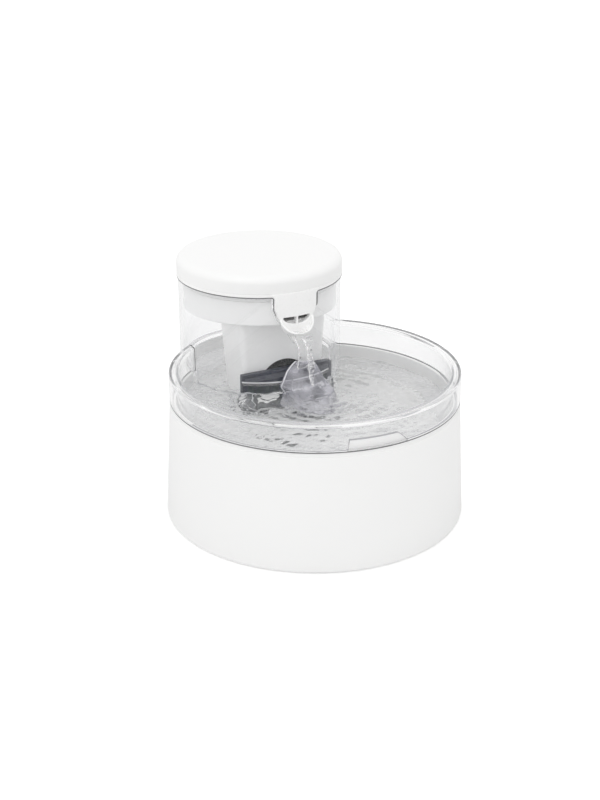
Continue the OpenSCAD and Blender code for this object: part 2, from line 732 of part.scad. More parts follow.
module upper_basin() color("#f4f4f3") difference() {
    at_tower() {
        tube(collar_r, collar_inner_r, tower_top - collar_band_h, ring_z);
        tube(collar_low_r, collar_inner_r, basin_low_z, tower_top - collar_band_h + eps);
        rod(collar_low_r, basin_low_z, basin_floor_top);
    }
    at_pump() rod(riser_r + 0.02, basin_low_z - 1, basin_floor_top + 1);
    translate([-outlet_half_w - 0.4, tower_y - far, basin_floor_top])
        cube([2 * outlet_half_w + 0.8, far - tower_r / 2, outlet_top_z - basin_floor_top + 0.6]);
}

// One slice of the shroud's D-shaped outline
module shroud_slice(half_w, inset, z) translate([0, drum_y, z]) linear_extrude(0.1)
    intersection() {
        union() {
            translate([0, shroud_back_dy]) circle(r = half_w - inset, $fn = 64);
            translate([-half_w + inset, shroud_front_dy])
                square([2 * (half_w - inset), shroud_back_dy - shroud_front_dy]);
        }
        translate([-far / 2, shroud_front_dy + inset]) square(far);
    }

module basin_shroud() color("#efefee") difference() {
    hull() {
        shroud_slice(shroud_top_half_w, 0, basin_low_z - 0.1);
        shroud_slice(shroud_low_half_w, 0, shroud_low_z);
    }
    hull() {
        shroud_slice(shroud_top_half_w, shroud_wall, basin_low_z);
        shroud_slice(shroud_low_half_w, shroud_wall, shroud_low_z - 0.2);
    }
    translate([0, drum_y + shroud_back_dy - 10, foam_arch_z]) rotate([90, 0, 0])
        cylinder(r = shroud_arch_r, h = far / 4);
    translate([-shroud_arch_r, drum_y + shroud_front_dy - 5, shroud_low_z - 1])
        cube([2 * shroud_arch_r, 15, foam_arch_z - shroud_low_z + 1]);
}

module riser_tube() color("#efefee") at_pump() tube(riser_r, riser_bore_r, riser_low, riser_top);

// The pouring lip: a slice of a hollow ball below a plane that slopes forwards and down
module pouring_lip() {
    wall_y = tower_y - tower_r;
    intersection() {
        translate([0, wall_y, lip_bowl_z]) difference() {
            sphere(r = lip_bowl_r);
            sphere(r = lip_bowl_r - lip_wall);
        }
        translate([far / 2, 0, 0]) rotate([0, -90, 0]) linear_extrude(far) polygon([
            [lip_bowl_z, wall_y - fit_gap], [lip_bowl_z, wall_y - fit_gap - eps],
            [lip_bowl_z - sqrt(pow(lip_bowl_r, 2) - pow(lip_reach, 2)), wall_y - lip_reach],
            [lip_bowl_z - 2 * lip_bowl_r, wall_y - lip_reach],
            [lip_bowl_z - 2 * lip_bowl_r, wall_y - fit_gap]]);
    }
}

// The two outlets: a flat top over half an ellipse, parted by a web
module outlets() difference() {
    translate([0, tower_y - tower_r / 2, outlet_top_z]) rotate([90, 0, 0]) linear_extrude(far / 2)
        intersection() {
            scale([outlet_half_w, outlet_h]) circle(r = 1, $fn = 64);
            translate([-far / 2, -far]) square(far);
        }
    translate([-outlet_web / 2, tower_y - far, outlet_top_z - outlet_h - 1])
        cube([outlet_web, far, outlet_h + 2]);
}

module spout_ring() color("#f6f6f5") difference() {
    union() {
        at_tower() tube(ring_r, collar_inner_r, ring_z, ring_top);
        intersection() {
            at_tower() tube(spout_plate_r, collar_r + running_gap, spout_tip_z - 1, ring_z + eps);
            front_prism(spout_outline(0, ring_top));
        }
        pouring_lip();
    }
    outlets();
}

module lid() color("#f7f7f6") at_tower() rotate_extrude($fn = 144) polygon(concat(
    [[0, lid_top]],
    arc([lid_r - lid_edge_r, lid_top - lid_edge_r - 0.3], lid_edge_r, 90, 0, 6),
    [[lid_r, lid_z + lid_shadow_gap], [lid_r - lid_skirt_t / 2, lid_z + lid_shadow_gap],
     [lid_r - lid_skirt_t / 2, lid_z], [lid_r - lid_skirt_t, lid_z],
     [lid_r - lid_skirt_t, lid_top - lid_wall], [0, lid_top - lid_wall]]));

// Soft plug ring under the lid that centres it in the basin
module lid_seal() color("#cfd2d4") at_tower()
    tube(plug_r, plug_r - plug_t, lid_z - lid_plug_h, lid_top - lid_wall);

// ---------------------------------------------------------------- ramp

module ramp_slice(layer, inset, lift) translate([layer[1], ramp_face_y, layer[0] + lift - 0.1])
    linear_extrude(0.1) intersection() {
        scale([max(layer[2] - inset, 0.4), max(layer[3] - inset, 0.4)]) circle(r = 1, $fn = 48);
        translate([-far / 2, -far]) square([far, far]);
    }

module ramp_form(inset) for (i = [0:len(ramp_layers) - 2]) hull() {
    ramp_slice(ramp_layers[i], inset, -inset);
    ramp_slice(ramp_layers[i + 1], inset, i == len(ramp_layers) - 2 && inset > 0 ? -1 : -inset);
}

module splash_ramp() color("#d9dde6", 0.4) difference() {
    ramp_form(0);
    ramp_form(ramp_wall);
}

base_housing();
bottom_cover();
rubber_feet();
cover_screws();
motor_can();
motor_bracket();
bracket_screws();
control_board();
board_parts();
board_screws();
dc_socket();
wire_leads();
drive_shaft();
drive_magnet();
bowl();
impeller_pin();
impeller();
impeller_magnet();
impeller_bush();
pump_cover();
prefilter_foam();
tower_shell();
filter_frame();
filter_pad();
filter_cap();
upper_basin();
basin_shroud();
riser_tube();
spout_ring();
lid();
lid_seal();
splash_ramp();
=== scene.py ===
"""Pet water fountain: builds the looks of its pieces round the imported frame."""
import math

import bmesh
import bpy
import numpy as np
from mathutils import Matrix, Vector, noise


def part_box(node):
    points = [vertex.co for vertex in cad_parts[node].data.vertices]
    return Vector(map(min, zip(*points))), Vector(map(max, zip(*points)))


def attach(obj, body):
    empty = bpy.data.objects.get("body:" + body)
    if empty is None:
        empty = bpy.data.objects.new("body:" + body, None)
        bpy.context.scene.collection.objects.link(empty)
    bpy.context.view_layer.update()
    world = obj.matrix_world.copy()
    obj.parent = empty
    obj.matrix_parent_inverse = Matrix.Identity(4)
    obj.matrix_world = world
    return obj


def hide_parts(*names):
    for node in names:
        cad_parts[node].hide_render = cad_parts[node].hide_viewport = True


bl_info = {
    "name": "Pet water fountain",
    "version": (1, 0, 0),
    "blender": (4, 5, 0),
    "location": "View3D > Sidebar > Fountain",
    "description": "Builds a pet water fountain round its packed frame",
    "category": "Object",
}

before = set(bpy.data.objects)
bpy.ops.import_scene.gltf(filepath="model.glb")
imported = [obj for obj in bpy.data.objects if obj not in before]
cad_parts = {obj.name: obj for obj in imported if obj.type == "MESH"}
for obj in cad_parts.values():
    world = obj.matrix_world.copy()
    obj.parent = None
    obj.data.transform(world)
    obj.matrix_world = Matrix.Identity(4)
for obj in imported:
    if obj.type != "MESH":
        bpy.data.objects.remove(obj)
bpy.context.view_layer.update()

# ---------------------------------------------------------------- places, in millimetres
MM = 0.001
TAU = 2 * math.pi
HOUSING_LOW, HOUSING_HIGH = (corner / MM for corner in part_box("base_housing"))
BOWL_LOW, BOWL_HIGH = (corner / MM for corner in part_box("bowl"))
TOWER_LOW, TOWER_HIGH = (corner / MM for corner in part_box("tower_shell"))
BASIN_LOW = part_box("upper_basin")[0] / MM
SHROUD_LOW, SHROUD_HIGH = (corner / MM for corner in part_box("basin_shroud"))
RING_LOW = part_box("spout_ring")[0] / MM
LID_LOW, LID_HIGH = (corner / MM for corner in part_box("lid"))
RAMP_LOW, RAMP_HIGH = (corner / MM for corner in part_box("splash_ramp"))
FILTER_LOW, FILTER_HIGH = (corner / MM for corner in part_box("filter_frame"))
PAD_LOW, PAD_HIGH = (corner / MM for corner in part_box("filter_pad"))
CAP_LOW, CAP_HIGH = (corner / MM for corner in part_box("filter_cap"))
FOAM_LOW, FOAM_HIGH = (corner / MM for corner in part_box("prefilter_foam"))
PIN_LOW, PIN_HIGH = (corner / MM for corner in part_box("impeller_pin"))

# The corners of a box end in _LOW and _HIGH, radii in _R, and heights above the table in _Z or _TOP.
# The drum and the tower stand on two upright axes, at DRUM_Y and TOWER_Y.
BASE_R = HOUSING_HIGH.x
DRUM_Y = HOUSING_LOW.y + BASE_R
FOOT_H = HOUSING_LOW.z
TOWER_Y = (TOWER_LOW.y + TOWER_HIGH.y) / 2
TOWER_R = TOWER_HIGH.x
TOWER_TOP = TOWER_HIGH.z
TOWER_WALL = 2.4
LOBE_LOW_R = HOUSING_HIGH.y - TOWER_Y
APART = TOWER_Y - DRUM_Y
PUMP_Y = (PIN_LOW.y + PIN_HIGH.y) / 2
RIM_R = BOWL_HIGH.x
RIM_TOP = BOWL_HIGH.z
SHOULDER_Z = 83.7
SKIRT_Z = 84.0
DECK_UNDER_Z = 28.0
DECK_TOP = BOWL_LOW.z
FLOOR_Z = DECK_TOP + 2.5
LEDGE_Z = 87.0
WATER_Z = 79.0
# Level inside the tower, which the pump draws down.
DRAWN_Z = 74.0
BASE_DRAFT = (BASE_R - RIM_R) / (SHOULDER_Z - FOOT_H)
LOBE_DRAFT = (LOBE_LOW_R - TOWER_R - 1) / (SHOULDER_Z - FOOT_H)
GAP = 0.4
NECK_CLEAR_R = TOWER_R + 2.8
RING_Z = TOWER_TOP + 0.3
RING_LOW_EDGE = TOWER_TOP + 0.26
BAND_R = LID_HIGH.x + 0.1


# ---------------------------------------------------------------- settings
class HousingSettings(bpy.types.PropertyGroup):
    """Sizes and colour of the drum base."""

    wall: bpy.props.FloatProperty(
        name="Wall", description="Wall of the white housing", default=0.0026, unit="LENGTH")
    edge: bpy.props.FloatProperty(
        name="Shoulder edge", description="Radius of the shoulder's outer edge",
        default=0.0011, unit="LENGTH")
    neck: bpy.props.FloatProperty(
        name="Neck fillet", description="Radius of the fillet between drum and lobe",
        default=0.004, unit="LENGTH")
    tab_rise: bpy.props.FloatProperty(
        name="Tab rise", description="Height of the front tab above the lip",
        default=0.0075, unit="LENGTH")
    tab_width: bpy.props.FloatProperty(
        name="Tab width", description="Width of the front tab", default=0.033, unit="LENGTH")
    tab_place: bpy.props.FloatProperty(
        name="Tab place", description="How far the tab's middle lies right of the drum's axis",
        default=-0.0095, unit="LENGTH")
    # Colour of the painted shade line on the lip's front.
    shade_line_colour: bpy.props.FloatVectorProperty(
        name="Shade line colour", description="Colour of the thin line of painted shade on the lip", subtype="COLOR",
        size=3, min=0, max=1, default=(0.40, 0.40, 0.42))
    colour: bpy.props.FloatVectorProperty(
        name="Colour", description="Colour of the white housing", subtype="COLOR",
        size=3, min=0, max=1, default=(0.915, 0.915, 0.91))


class ClearSettings(bpy.types.PropertyGroup):
    """Sizes and tint of the clear bowl and tower."""

    wall: bpy.props.FloatProperty(
        name="Wall", description="Wall of the clear bowl", default=0.0021, unit="LENGTH")
    tower_wall: bpy.props.FloatProperty(
        name="Tower wall", description="Wall of the clear tower", default=0.0024, unit="LENGTH")
    tint: bpy.props.FloatVectorProperty(
        name="Tint", description="Tint that a long way through the plastic shows",
        subtype="COLOR", size=3, min=0, max=1, default=(0.52, 0.54, 0.57))
    density: bpy.props.FloatProperty(
        name="Density", description="How strongly the bowl's body takes light",
        default=6.0, min=0)
    tower_density: bpy.props.FloatProperty(
        name="Tower density", description="How strongly the tower's body takes light",
        default=26.0, min=0)
    # Width and colour of the thin grey lines of painted shade on the tower and the hem.
    shade_line_width: bpy.props.FloatProperty(
        name="Shade line width", description="Width of the tower's painted shade line", default=0.0004, unit="LENGTH")
    shade_line_colour: bpy.props.FloatVectorProperty(
        name="Shade line colour", description="Colour of the thin grey lines of painted shade", subtype="COLOR",
        size=3, min=0, max=1, default=(0.16, 0.16, 0.165))


class UpperSettings(bpy.types.PropertyGroup):
    """Sizes and colour of the basin, its shroud, the spout and the lid."""

    lid_edge: bpy.props.FloatProperty(
        name="Lid edge", description="Radius of the lid's upper edge",
        default=0.006, unit="LENGTH")
    crown: bpy.props.FloatProperty(
        name="Crown", description="How far the lid's middle stands above its edge",
        default=0.0026, unit="LENGTH")
    shroud_wall: bpy.props.FloatProperty(
        name="Shroud wall", description="Wall of the shroud", default=0.0022, unit="LENGTH")
    web: bpy.props.FloatProperty(
        name="Outlet web", description="Width of the web between the outlets",
        default=0.0014, unit="LENGTH")
    colour: bpy.props.FloatVectorProperty(
        name="Colour", description="Colour of the white upper pieces", subtype="COLOR",
        size=3, min=0, max=1, default=(0.965, 0.965, 0.96))


class FilterSettings(bpy.types.PropertyGroup):
    """Sizes and colours of the filter cartridge and the foam."""

    border: bpy.props.FloatProperty(
        name="Border", description="Width of the cartridge's border",
        default=0.004, unit="LENGTH")
    rail: bpy.props.FloatProperty(
        name="Rail", description="Height of the cartridge's top rail",
        default=0.0085, unit="LENGTH")
    frame_colour: bpy.props.FloatVectorProperty(
        name="Frame colour", description="Colour of the cartridge's frame", subtype="COLOR",
        size=3, min=0, max=1, default=(0.022, 0.027, 0.048))
    strip_colour: bpy.props.FloatVectorProperty(
        name="Strip colour", description="Colour of the strip in the rail's groove", subtype="COLOR",
        size=3, min=0, max=1, default=(0.10, 0.105, 0.13))
    pad_colour: bpy.props.FloatVectorProperty(
        name="Pad colour", description="Colour of the carbon fleece", subtype="COLOR",
        size=3, min=0, max=1, default=(0.045, 0.06, 0.062))
    cap_colour: bpy.props.FloatVectorProperty(
        name="Cap colour", description="Colour of the ribbed cap", subtype="COLOR",
        size=3, min=0, max=1, default=(0.90, 0.90, 0.89))


class RampSettings(bpy.types.PropertyGroup):
    """Sizes and tint of the splash ramp."""

    wall: bpy.props.FloatProperty(
        name="Wall", description="Wall of the splash ramp", default=0.0018, unit="LENGTH")
    tint: bpy.props.FloatVectorProperty(
        name="Tint", description="Tint of the smoky ramp", subtype="COLOR",
        size=3, min=0, max=1, default=(0.36, 0.35, 0.44))
    density: bpy.props.FloatProperty(
        name="Density", description="How strongly the ramp's body takes light",
        default=190.0, min=0)


class WaterSettings(bpy.types.PropertyGroup):
    """Level and liveliness of the water."""

    ripple: bpy.props.FloatProperty(
        name="Ripple", description="Height of the ripples round the splash",
        default=0.0014, unit="LENGTH")
    bubble: bpy.props.FloatProperty(
        name="Bubble", description="Radius of a middling bubble", default=0.0006, unit="LENGTH")
    tint: bpy.props.FloatVectorProperty(
        name="Tint", description="Tint that a long way through the water shows",
        subtype="COLOR", size=3, min=0, max=1, default=(0.72, 0.74, 0.75))
    density: bpy.props.FloatProperty(
        name="Density", description="How strongly the water takes light", default=2.0, min=0)


class StageSettings(bpy.types.PropertyGroup):
    """Camera, lamps and floor."""

    lens: bpy.props.FloatProperty(
        name="Lens", description="Focal length in millimetres", default=68.945, min=1)
    sky: bpy.props.FloatProperty(
        name="Sky", description="Level of the soft light all round", default=0.93, min=0)
    zenith: bpy.props.FloatProperty(
        name="Zenith", description="Level overhead that gloss and clear pieces show",
        default=1.0, min=0)
    sun: bpy.props.FloatProperty(
        name="Lamp", description="Level of the large lamp", default=0.42, min=0)
    floor: bpy.props.FloatVectorProperty(
        name="Floor", description="Colour of the floor", subtype="COLOR",
        size=3, min=0, max=1, default=(0.86, 0.86, 0.86))


# ---------------------------------------------------------------- outlines and meshes
MERGE_DISTANCE = 1e-7
UPRIGHT_SHARE = 0.97
RADIUS_MARGIN = 0.06


def rounded(points, steps=5, closed=True):
    """Corners (x, y, radius) of an outline, turned into a run of points with those fillets."""
    run = []
    count = len(points)
    for i, (x, y, radius) in enumerate(points):
        if radius <= 0 or (not closed and i in (0, count - 1)):
            run.append((x, y))
            continue
        corner = Vector((x, y))
        to_last = Vector(points[i - 1][:2]) - corner
        to_next = Vector(points[(i + 1) % count][:2]) - corner
        half = to_last.angle(to_next) / 2
        reach = min(radius / math.tan(half), 0.499 * min(to_last.length, to_next.length))
        radius = reach * math.tan(half)
        to_last.normalize()
        to_next.normalize()
        centre = corner + (to_last + to_next).normalized() * (radius / math.sin(half))
        first = corner + to_last * reach - centre
        last = corner + to_next * reach - centre
        start = math.atan2(first.y, first.x)
        turn = (math.atan2(last.y, last.x) - start + math.pi) % TAU - math.pi
        for k in range(steps + 1):
            angle = start + turn * k / steps
            run.append((centre.x + radius * math.cos(angle), centre.y + radius * math.sin(angle)))
    return run


def placed(name, data):
    """New object in the scene that holds a mesh, a lamp or a camera."""
    obj = bpy.data.objects.new(name, data)
    bpy.context.scene.collection.objects.link(obj)
    return obj


def plain_object(name, verts, faces):
    """New object from corners in millimetres, its faces turned outwards."""
    mesh = bpy.data.meshes.new(name)
    mesh.from_pydata([(x * MM, y * MM, z * MM) for x, y, z in verts], [], faces)
    work = bmesh.new()
    work.from_mesh(mesh)
    bmesh.ops.remove_doubles(work, verts=work.verts, dist=MERGE_DISTANCE)
    bmesh.ops.recalc_face_normals(work, faces=work.faces)
    work.to_mesh(mesh)
    work.free()
    return placed(name, mesh)


def lathe(name, outline, axis_y, steps=240):
    """Solid of revolution about an upright axis, from a closed run of (radius, height)."""
    verts = []
    rings = []
    for radius, height in outline:
        count = 1 if radius < 1e-6 else steps
        rings.append(range(len(verts), len(verts) + count))
        for k in range(count):
            angle = TAU * k / steps
            verts.append((radius * math.cos(angle), axis_y + radius * math.sin(angle), height))
    faces = []
    for ring, after in zip(rings, rings[1:] + rings[:1]):
        if len(ring) == 1 and len(after) == 1:
            continue
        for k in range(steps):
            step = (k + 1) % steps
            quad = [ring[k % len(ring)], ring[step % len(ring)],
                    after[step % len(after)], after[k % len(after)]]
            faces.append(list(dict.fromkeys(quad)))
    return plain_object(name, verts, faces)


def hoop(name, inner, outer, low, high, axis_y, steps=240):
    """Ring of square section about an upright axis, or a disc where the inner radius is 0."""
    return lathe(name, [(inner, low), (outer, low), (outer, high), (inner, high)], axis_y, steps)


def loft(name, loops, closed=False):
    """Skin over loops of the same number of points; open ends are capped."""
    count = len(loops[0])
    verts = [point for loop in loops for point in loop]
    faces = []
    pairs = range(len(loops) if closed else len(loops) - 1)
    for i in pairs:
        low = i * count
        high = ((i + 1) % len(loops)) * count
        for k in range(count):
            step = (k + 1) % count
            faces.append([low + k, low + step, high + step, high + k])
    if not closed:
        faces.append(list(range(count - 1, -1, -1)))
        faces.append(list(range((len(loops) - 1) * count, len(loops) * count)))
    return plain_object(name, verts, faces)


def prism(name, outline, low, high, axis="Y"):
    """Straight solid between two heights along an axis, from an outline across it."""
    turn = {"Y": lambda u, v, t: (u, t, v), "X": lambda u, v, t: (t, u, v),
            "Z": lambda u, v, t: (u, v, t)}[axis]
    return loft(name, [[turn(u, v, t) for u, v in outline] for t in (low, high)])


def box_solid(name, low, high):
    """Straight box between two corners."""
    outline = [(low[0], low[1]), (high[0], low[1]), (high[0], high[1]), (low[0], high[1])]
    return prism(name, outline, low[2], high[2], "Z")


def tube(name, path, radius, steps=12):
    """Closed round tube along a run of points."""
    points = [Vector(point) for point in path]
    aslant = Vector((0.9, -0.44, 0.02))
    loops = []
    for i, point in enumerate(points):
        ahead = (points[min(i + 1, len(points) - 1)] - points[max(i - 1, 0)]).normalized()
        across = ahead.cross(aslant).normalized()
        other = ahead.cross(across)
        loops.append([tuple(point + across * (radius * math.cos(TAU * k / steps))
                            + other * (radius * math.sin(TAU * k / steps))) for k in range(steps)])
    return loft(name, loops)


def joined(name, parts):
    """One object from several, each part's mesh kept as it is."""
    work = bmesh.new()
    for part in parts:
        work.from_mesh(part.data)
        bpy.data.objects.remove(part)
    mesh = bpy.data.meshes.new(name)
    work.to_mesh(mesh)
    work.free()
    return placed(name, mesh)


def grid_faces(columns, rows, first=0):
    """Quads of a grid of points, row by row, whose points are numbered from a first."""
    faces = []
    for j in range(rows - 1):
        for i in range(columns - 1):
            a = first + j * columns + i
            faces.append([a, a + 1, a + columns + 1, a + columns])
    return faces


def grid_edge(columns, rows):
    """Numbers of the points along a grid's border, in order."""
    edge = list(range(columns))
    edge += [j * columns + columns - 1 for j in range(1, rows)]
    edge += [(rows - 1) * columns + i for i in range(columns - 2, -1, -1)]
    return edge + [j * columns for j in range(rows - 2, 0, -1)]


def settle(obj):
    """Apply an object's modifiers to its own mesh."""
    graph = bpy.context.evaluated_depsgraph_get()
    mesh = bpy.data.meshes.new_from_object(obj.evaluated_get(graph))
    mesh.name = obj.name
    obj.modifiers.clear()
    obj.data = mesh
    return obj


def combine(obj, tools, operation):
    """Boolean of an object with each tool in turn; the tools are used up."""
    for tool in tools:
        cut = obj.modifiers.new("Combine", "BOOLEAN")
        cut.operation = operation
        cut.object = tool
        cut.solver = "MANIFOLD"
        settle(obj)
        if not obj.data.polygons:
            raise RuntimeError(f"{obj.name}: {operation} with {tool.name} left nothing")
        bpy.data.objects.remove(tool)
    return obj


def round_edges(obj, width, angle=35):
    """Small fillet along an object's sharp edges."""
    bevel = obj.modifiers.new("Edges", "BEVEL")
    bevel.width = width * MM
    bevel.segments = 2
    bevel.limit_method = "ANGLE"
    bevel.angle_limit = math.radians(angle)
    bevel.use_clamp_overlap = True
    return settle(obj)


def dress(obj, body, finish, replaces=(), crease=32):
    """Smooth a finished piece, give it its material and hang it on its body."""
    mesh = obj.data
    mesh.materials.clear()
    mesh.materials.append(finish)
    if len(mesh.polygons):
        mesh.polygons.foreach_set("material_index", [0] * len(mesh.polygons))
    mesh.shade_smooth()
    mesh.set_sharp_from_angle(angle=math.radians(crease))
    even = obj.modifiers.new("Even shading", "WEIGHTED_NORMAL")
    even.mode = "FACE_AREA"
    even.weight = 80
    even.keep_sharp = True
    settle(obj)
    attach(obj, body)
    if replaces:
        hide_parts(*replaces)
    return obj


def true_round(obj, axis_y, radii):
    """Give the faces of upright cylinders about an axis their exact round normals."""
    mesh = obj.data
    normals = [Vector(corner.vector) for corner in mesh.corner_normals]
    for face in mesh.polygons:
        middle = face.center / MM
        out = Vector((middle.x, middle.y - axis_y, 0)).normalized()
        lean = face.normal.dot(out)
        if abs(lean) < UPRIGHT_SHARE:
            continue
        for corner in face.loop_indices:
            place = mesh.vertices[mesh.loops[corner].vertex_index].co / MM
            arm = Vector((place.x, place.y - axis_y, 0))
            if min(abs(arm.length - radius) for radius in radii) < RADIUS_MARGIN:
                normals[corner] = arm.normalized() * (1 if lean > 0 else -1)
    mesh.normals_split_custom_set(normals)


# ---------------------------------------------------------------- repeats
def repeat_tree():
    """Geometry Nodes tree that sets a shape on every point, by each point's size and turn."""
    tree = bpy.data.node_groups.get("Repeat on points")
    if tree:
        return tree
    tree = bpy.data.node_groups.new("Repeat on points", "GeometryNodeTree")
    sockets = (("Geometry", "INPUT", "Geometry"), ("Shape", "INPUT", "Object"), ("Scale", "INPUT", "Float"),
               ("Finish", "INPUT", "Material"), ("Geometry", "OUTPUT", "Geometry"))
    for name, way, kind in sockets:
        tree.interface.new_socket(name, in_out=way, socket_type="NodeSocket" + kind)
    make = tree.nodes.new
    link = tree.links.new
    given = make("NodeGroupInput")
    shape = make("GeometryNodeObjectInfo")
    size = node(make, "GeometryNodeInputNamedAttribute", {"Name": "size"}, data_type="FLOAT")
    turn = node(make, "GeometryNodeInputNamedAttribute", {"Name": "turn"}, data_type="FLOAT_VECTOR")
    scaled = node(make, "ShaderNodeMath", operation="MULTIPLY")
    place = make("GeometryNodeInstanceOnPoints")
    plain = make("GeometryNodeRealizeInstances")
    finish = make("GeometryNodeSetMaterial")
    result = make("NodeGroupOutput")
    link(given.outputs["Shape"], shape.inputs["Object"])
    link(given.outputs["Geometry"], place.inputs["Points"])
    link(shape.outputs["Geometry"], place.inputs["Instance"])
    link(size.outputs["Attribute"], scaled.inputs[0])
    link(given.outputs["Scale"], scaled.inputs[1])
    link(scaled.outputs[0], place.inputs["Scale"])
    link(turn.outputs["Attribute"], place.inputs["Rotation"])
    link(place.outputs["Instances"], plain.inputs["Geometry"])
    link(plain.outputs["Geometry"], finish.inputs["Geometry"])
    link(given.outputs["Finish"], finish.inputs["Material"])
    link(finish.outputs["Geometry"], result.inputs["Geometry"])
    return tree


def repeat(name, shape, places, finish):
    """Plain mesh with the shape on every place (point, size, turn), in millimetres."""
    mesh = bpy.data.meshes.new(name)
    mesh.from_pydata([tuple(c * MM for c in place[0]) for place in places], [], [])
    size = mesh.attributes.new("size", "FLOAT", "POINT")
    size.data.foreach_set("value", [place[1] for place in places])
    turn = mesh.attributes.new("turn", "FLOAT_VECTOR", "POINT")
    turn.data.foreach_set("vector", [c for place in places for c in place[2]])
    obj = placed(name, mesh)
    tree = repeat_tree()
    values = {"Shape": shape, "Scale": 1.0, "Finish": finish}
    step = obj.modifiers.new("Repeat", "NODES")
    step.node_group = tree
    for item in tree.interface.items_tree:
        if item.in_out == "INPUT" and item.name in values:
            step[item.identifier] = values[item.name]
    settle(obj)
    bpy.data.objects.remove(shape)
    return obj


# ---------------------------------------------------------------- materials
PLASTIC_IOR = 1.49
CLEAR_PASS = (0.996, 0.996, 0.997)
BROAD_GRAIN = 14
# A ray that is still inside clear pieces after this many turns shows the glow instead of black.
TRAPPED_DEPTH = 9.5
TRAPPED_GLOW = (0.64, 0.64, 0.65, 1)


def emptied(owner, output):
    """Ways to add and to join nodes of a material or world, and its output as the only node."""
    owner.use_nodes = True
    tree = owner.node_tree
    tree.nodes.clear()
    return tree.nodes.new, tree.links.new, tree.nodes.new(output)


def blank(name):
    """New material with only an output, and short ways to add and join nodes."""
    finish = bpy.data.materials.new(name)
    return finish, *emptied(finish, "ShaderNodeOutputMaterial")


def node(make, kind, values=None, **traits):
    """New node of a kind, with its traits set first and then its sockets' values."""
    made = make(kind)
    for trait, value in traits.items():
        setattr(made, trait, value)
    for socket, value in (values or {}).items():
        made.inputs[socket].default_value = value
    return made


def grain(make, link, scale, detail, stretch=(1, 1, 1)):
    """Noise on Object coordinates, as many waves to the metre as the scale."""
    place = make("ShaderNodeTexCoord")
    mapping = node(make, "ShaderNodeMapping", {"Scale": stretch})
    waves = node(make, "ShaderNodeTexNoise", {"Scale": scale, "Detail": detail})
    link(place.outputs["Object"], mapping.inputs["Vector"])
    link(mapping.outputs["Vector"], waves.inputs["Vector"])
    return waves.outputs["Fac"]


def spread(make, link, source, low, high):
    """A value's 0.3 to 0.7 carried to another range."""
    span = node(make, "ShaderNodeMapRange", {
        "From Min": 0.3, "From Max": 0.7, "To Min": low, "To Max": high})
    link(source, span.inputs["Value"])
    return span.outputs["Result"]


def two_tone(make, link, factor, dark, pale, shader):
    """Colour a shader between a dark and a pale tone."""
    mix = node(make, "ShaderNodeMix", {"A": (*dark, 1), "B": (*pale, 1)}, data_type="RGBA")
    link(factor, mix.inputs["Factor"])
    link(mix.outputs["Result"], shader.inputs["Base Color"])


def raised(make, link, height, depth, shader, strength=1.0):
    """Bump a shader by a height of a depth in metres."""
    bump = node(make, "ShaderNodeBump", {"Strength": strength, "Distance": depth})
    link(height, bump.inputs["Height"])
    link(bump.outputs["Normal"], shader.inputs["Normal"])


def mixed(make, link, factor, first, second):
    """Two shaders mixed by a factor."""
    mix = make("ShaderNodeMixShader")
    link(factor, mix.inputs["Fac"])
    link(first, mix.inputs[1])
    link(second, mix.inputs[2])
    return mix.outputs["Shader"]


def moulded(name, colour, roughness, texture=900, depth=0.00002, tone=0.02, gloss=0.5, thin=0.0):
    """Moulded plastic with a fine skin and a slight change of tone; thin walls let soft light by."""
    finish, make, link, out = blank(name)
    shader = node(make, "ShaderNodeBsdfPrincipled", {"Specular IOR Level": gloss})
    fine = grain(make, link, texture, 3)
    dark = [c * (1 - tone) for c in colour]
    pale = [min(1, c * (1 + tone)) for c in colour]
    two_tone(make, link, grain(make, link, BROAD_GRAIN, 2), dark, pale, shader)
    link(spread(make, link, fine, roughness * 0.85, roughness * 1.15), shader.inputs["Roughness"])
    raised(make, link, fine, depth, shader, 0.6)
    surface = shader.outputs["BSDF"]
    if thin:
        passing = make("ShaderNodeBsdfTransparent")
        path = make("ShaderNodeLightPath")
        share = node(make, "ShaderNodeMath", {1: thin}, operation="MULTIPLY")
        link(path.outputs["Is Diffuse Ray"], share.inputs[0])
        surface = mixed(make, link, share.outputs[0], surface, passing.outputs["BSDF"])
    link(surface, out.inputs["Surface"])
    return finish


def shade_line_finish(name, colour):
    """Dull grey finish in one tone, for thin lines of painted shade."""
    return moulded(name, colour, 0.5, 900, 0.00001, 0.05)


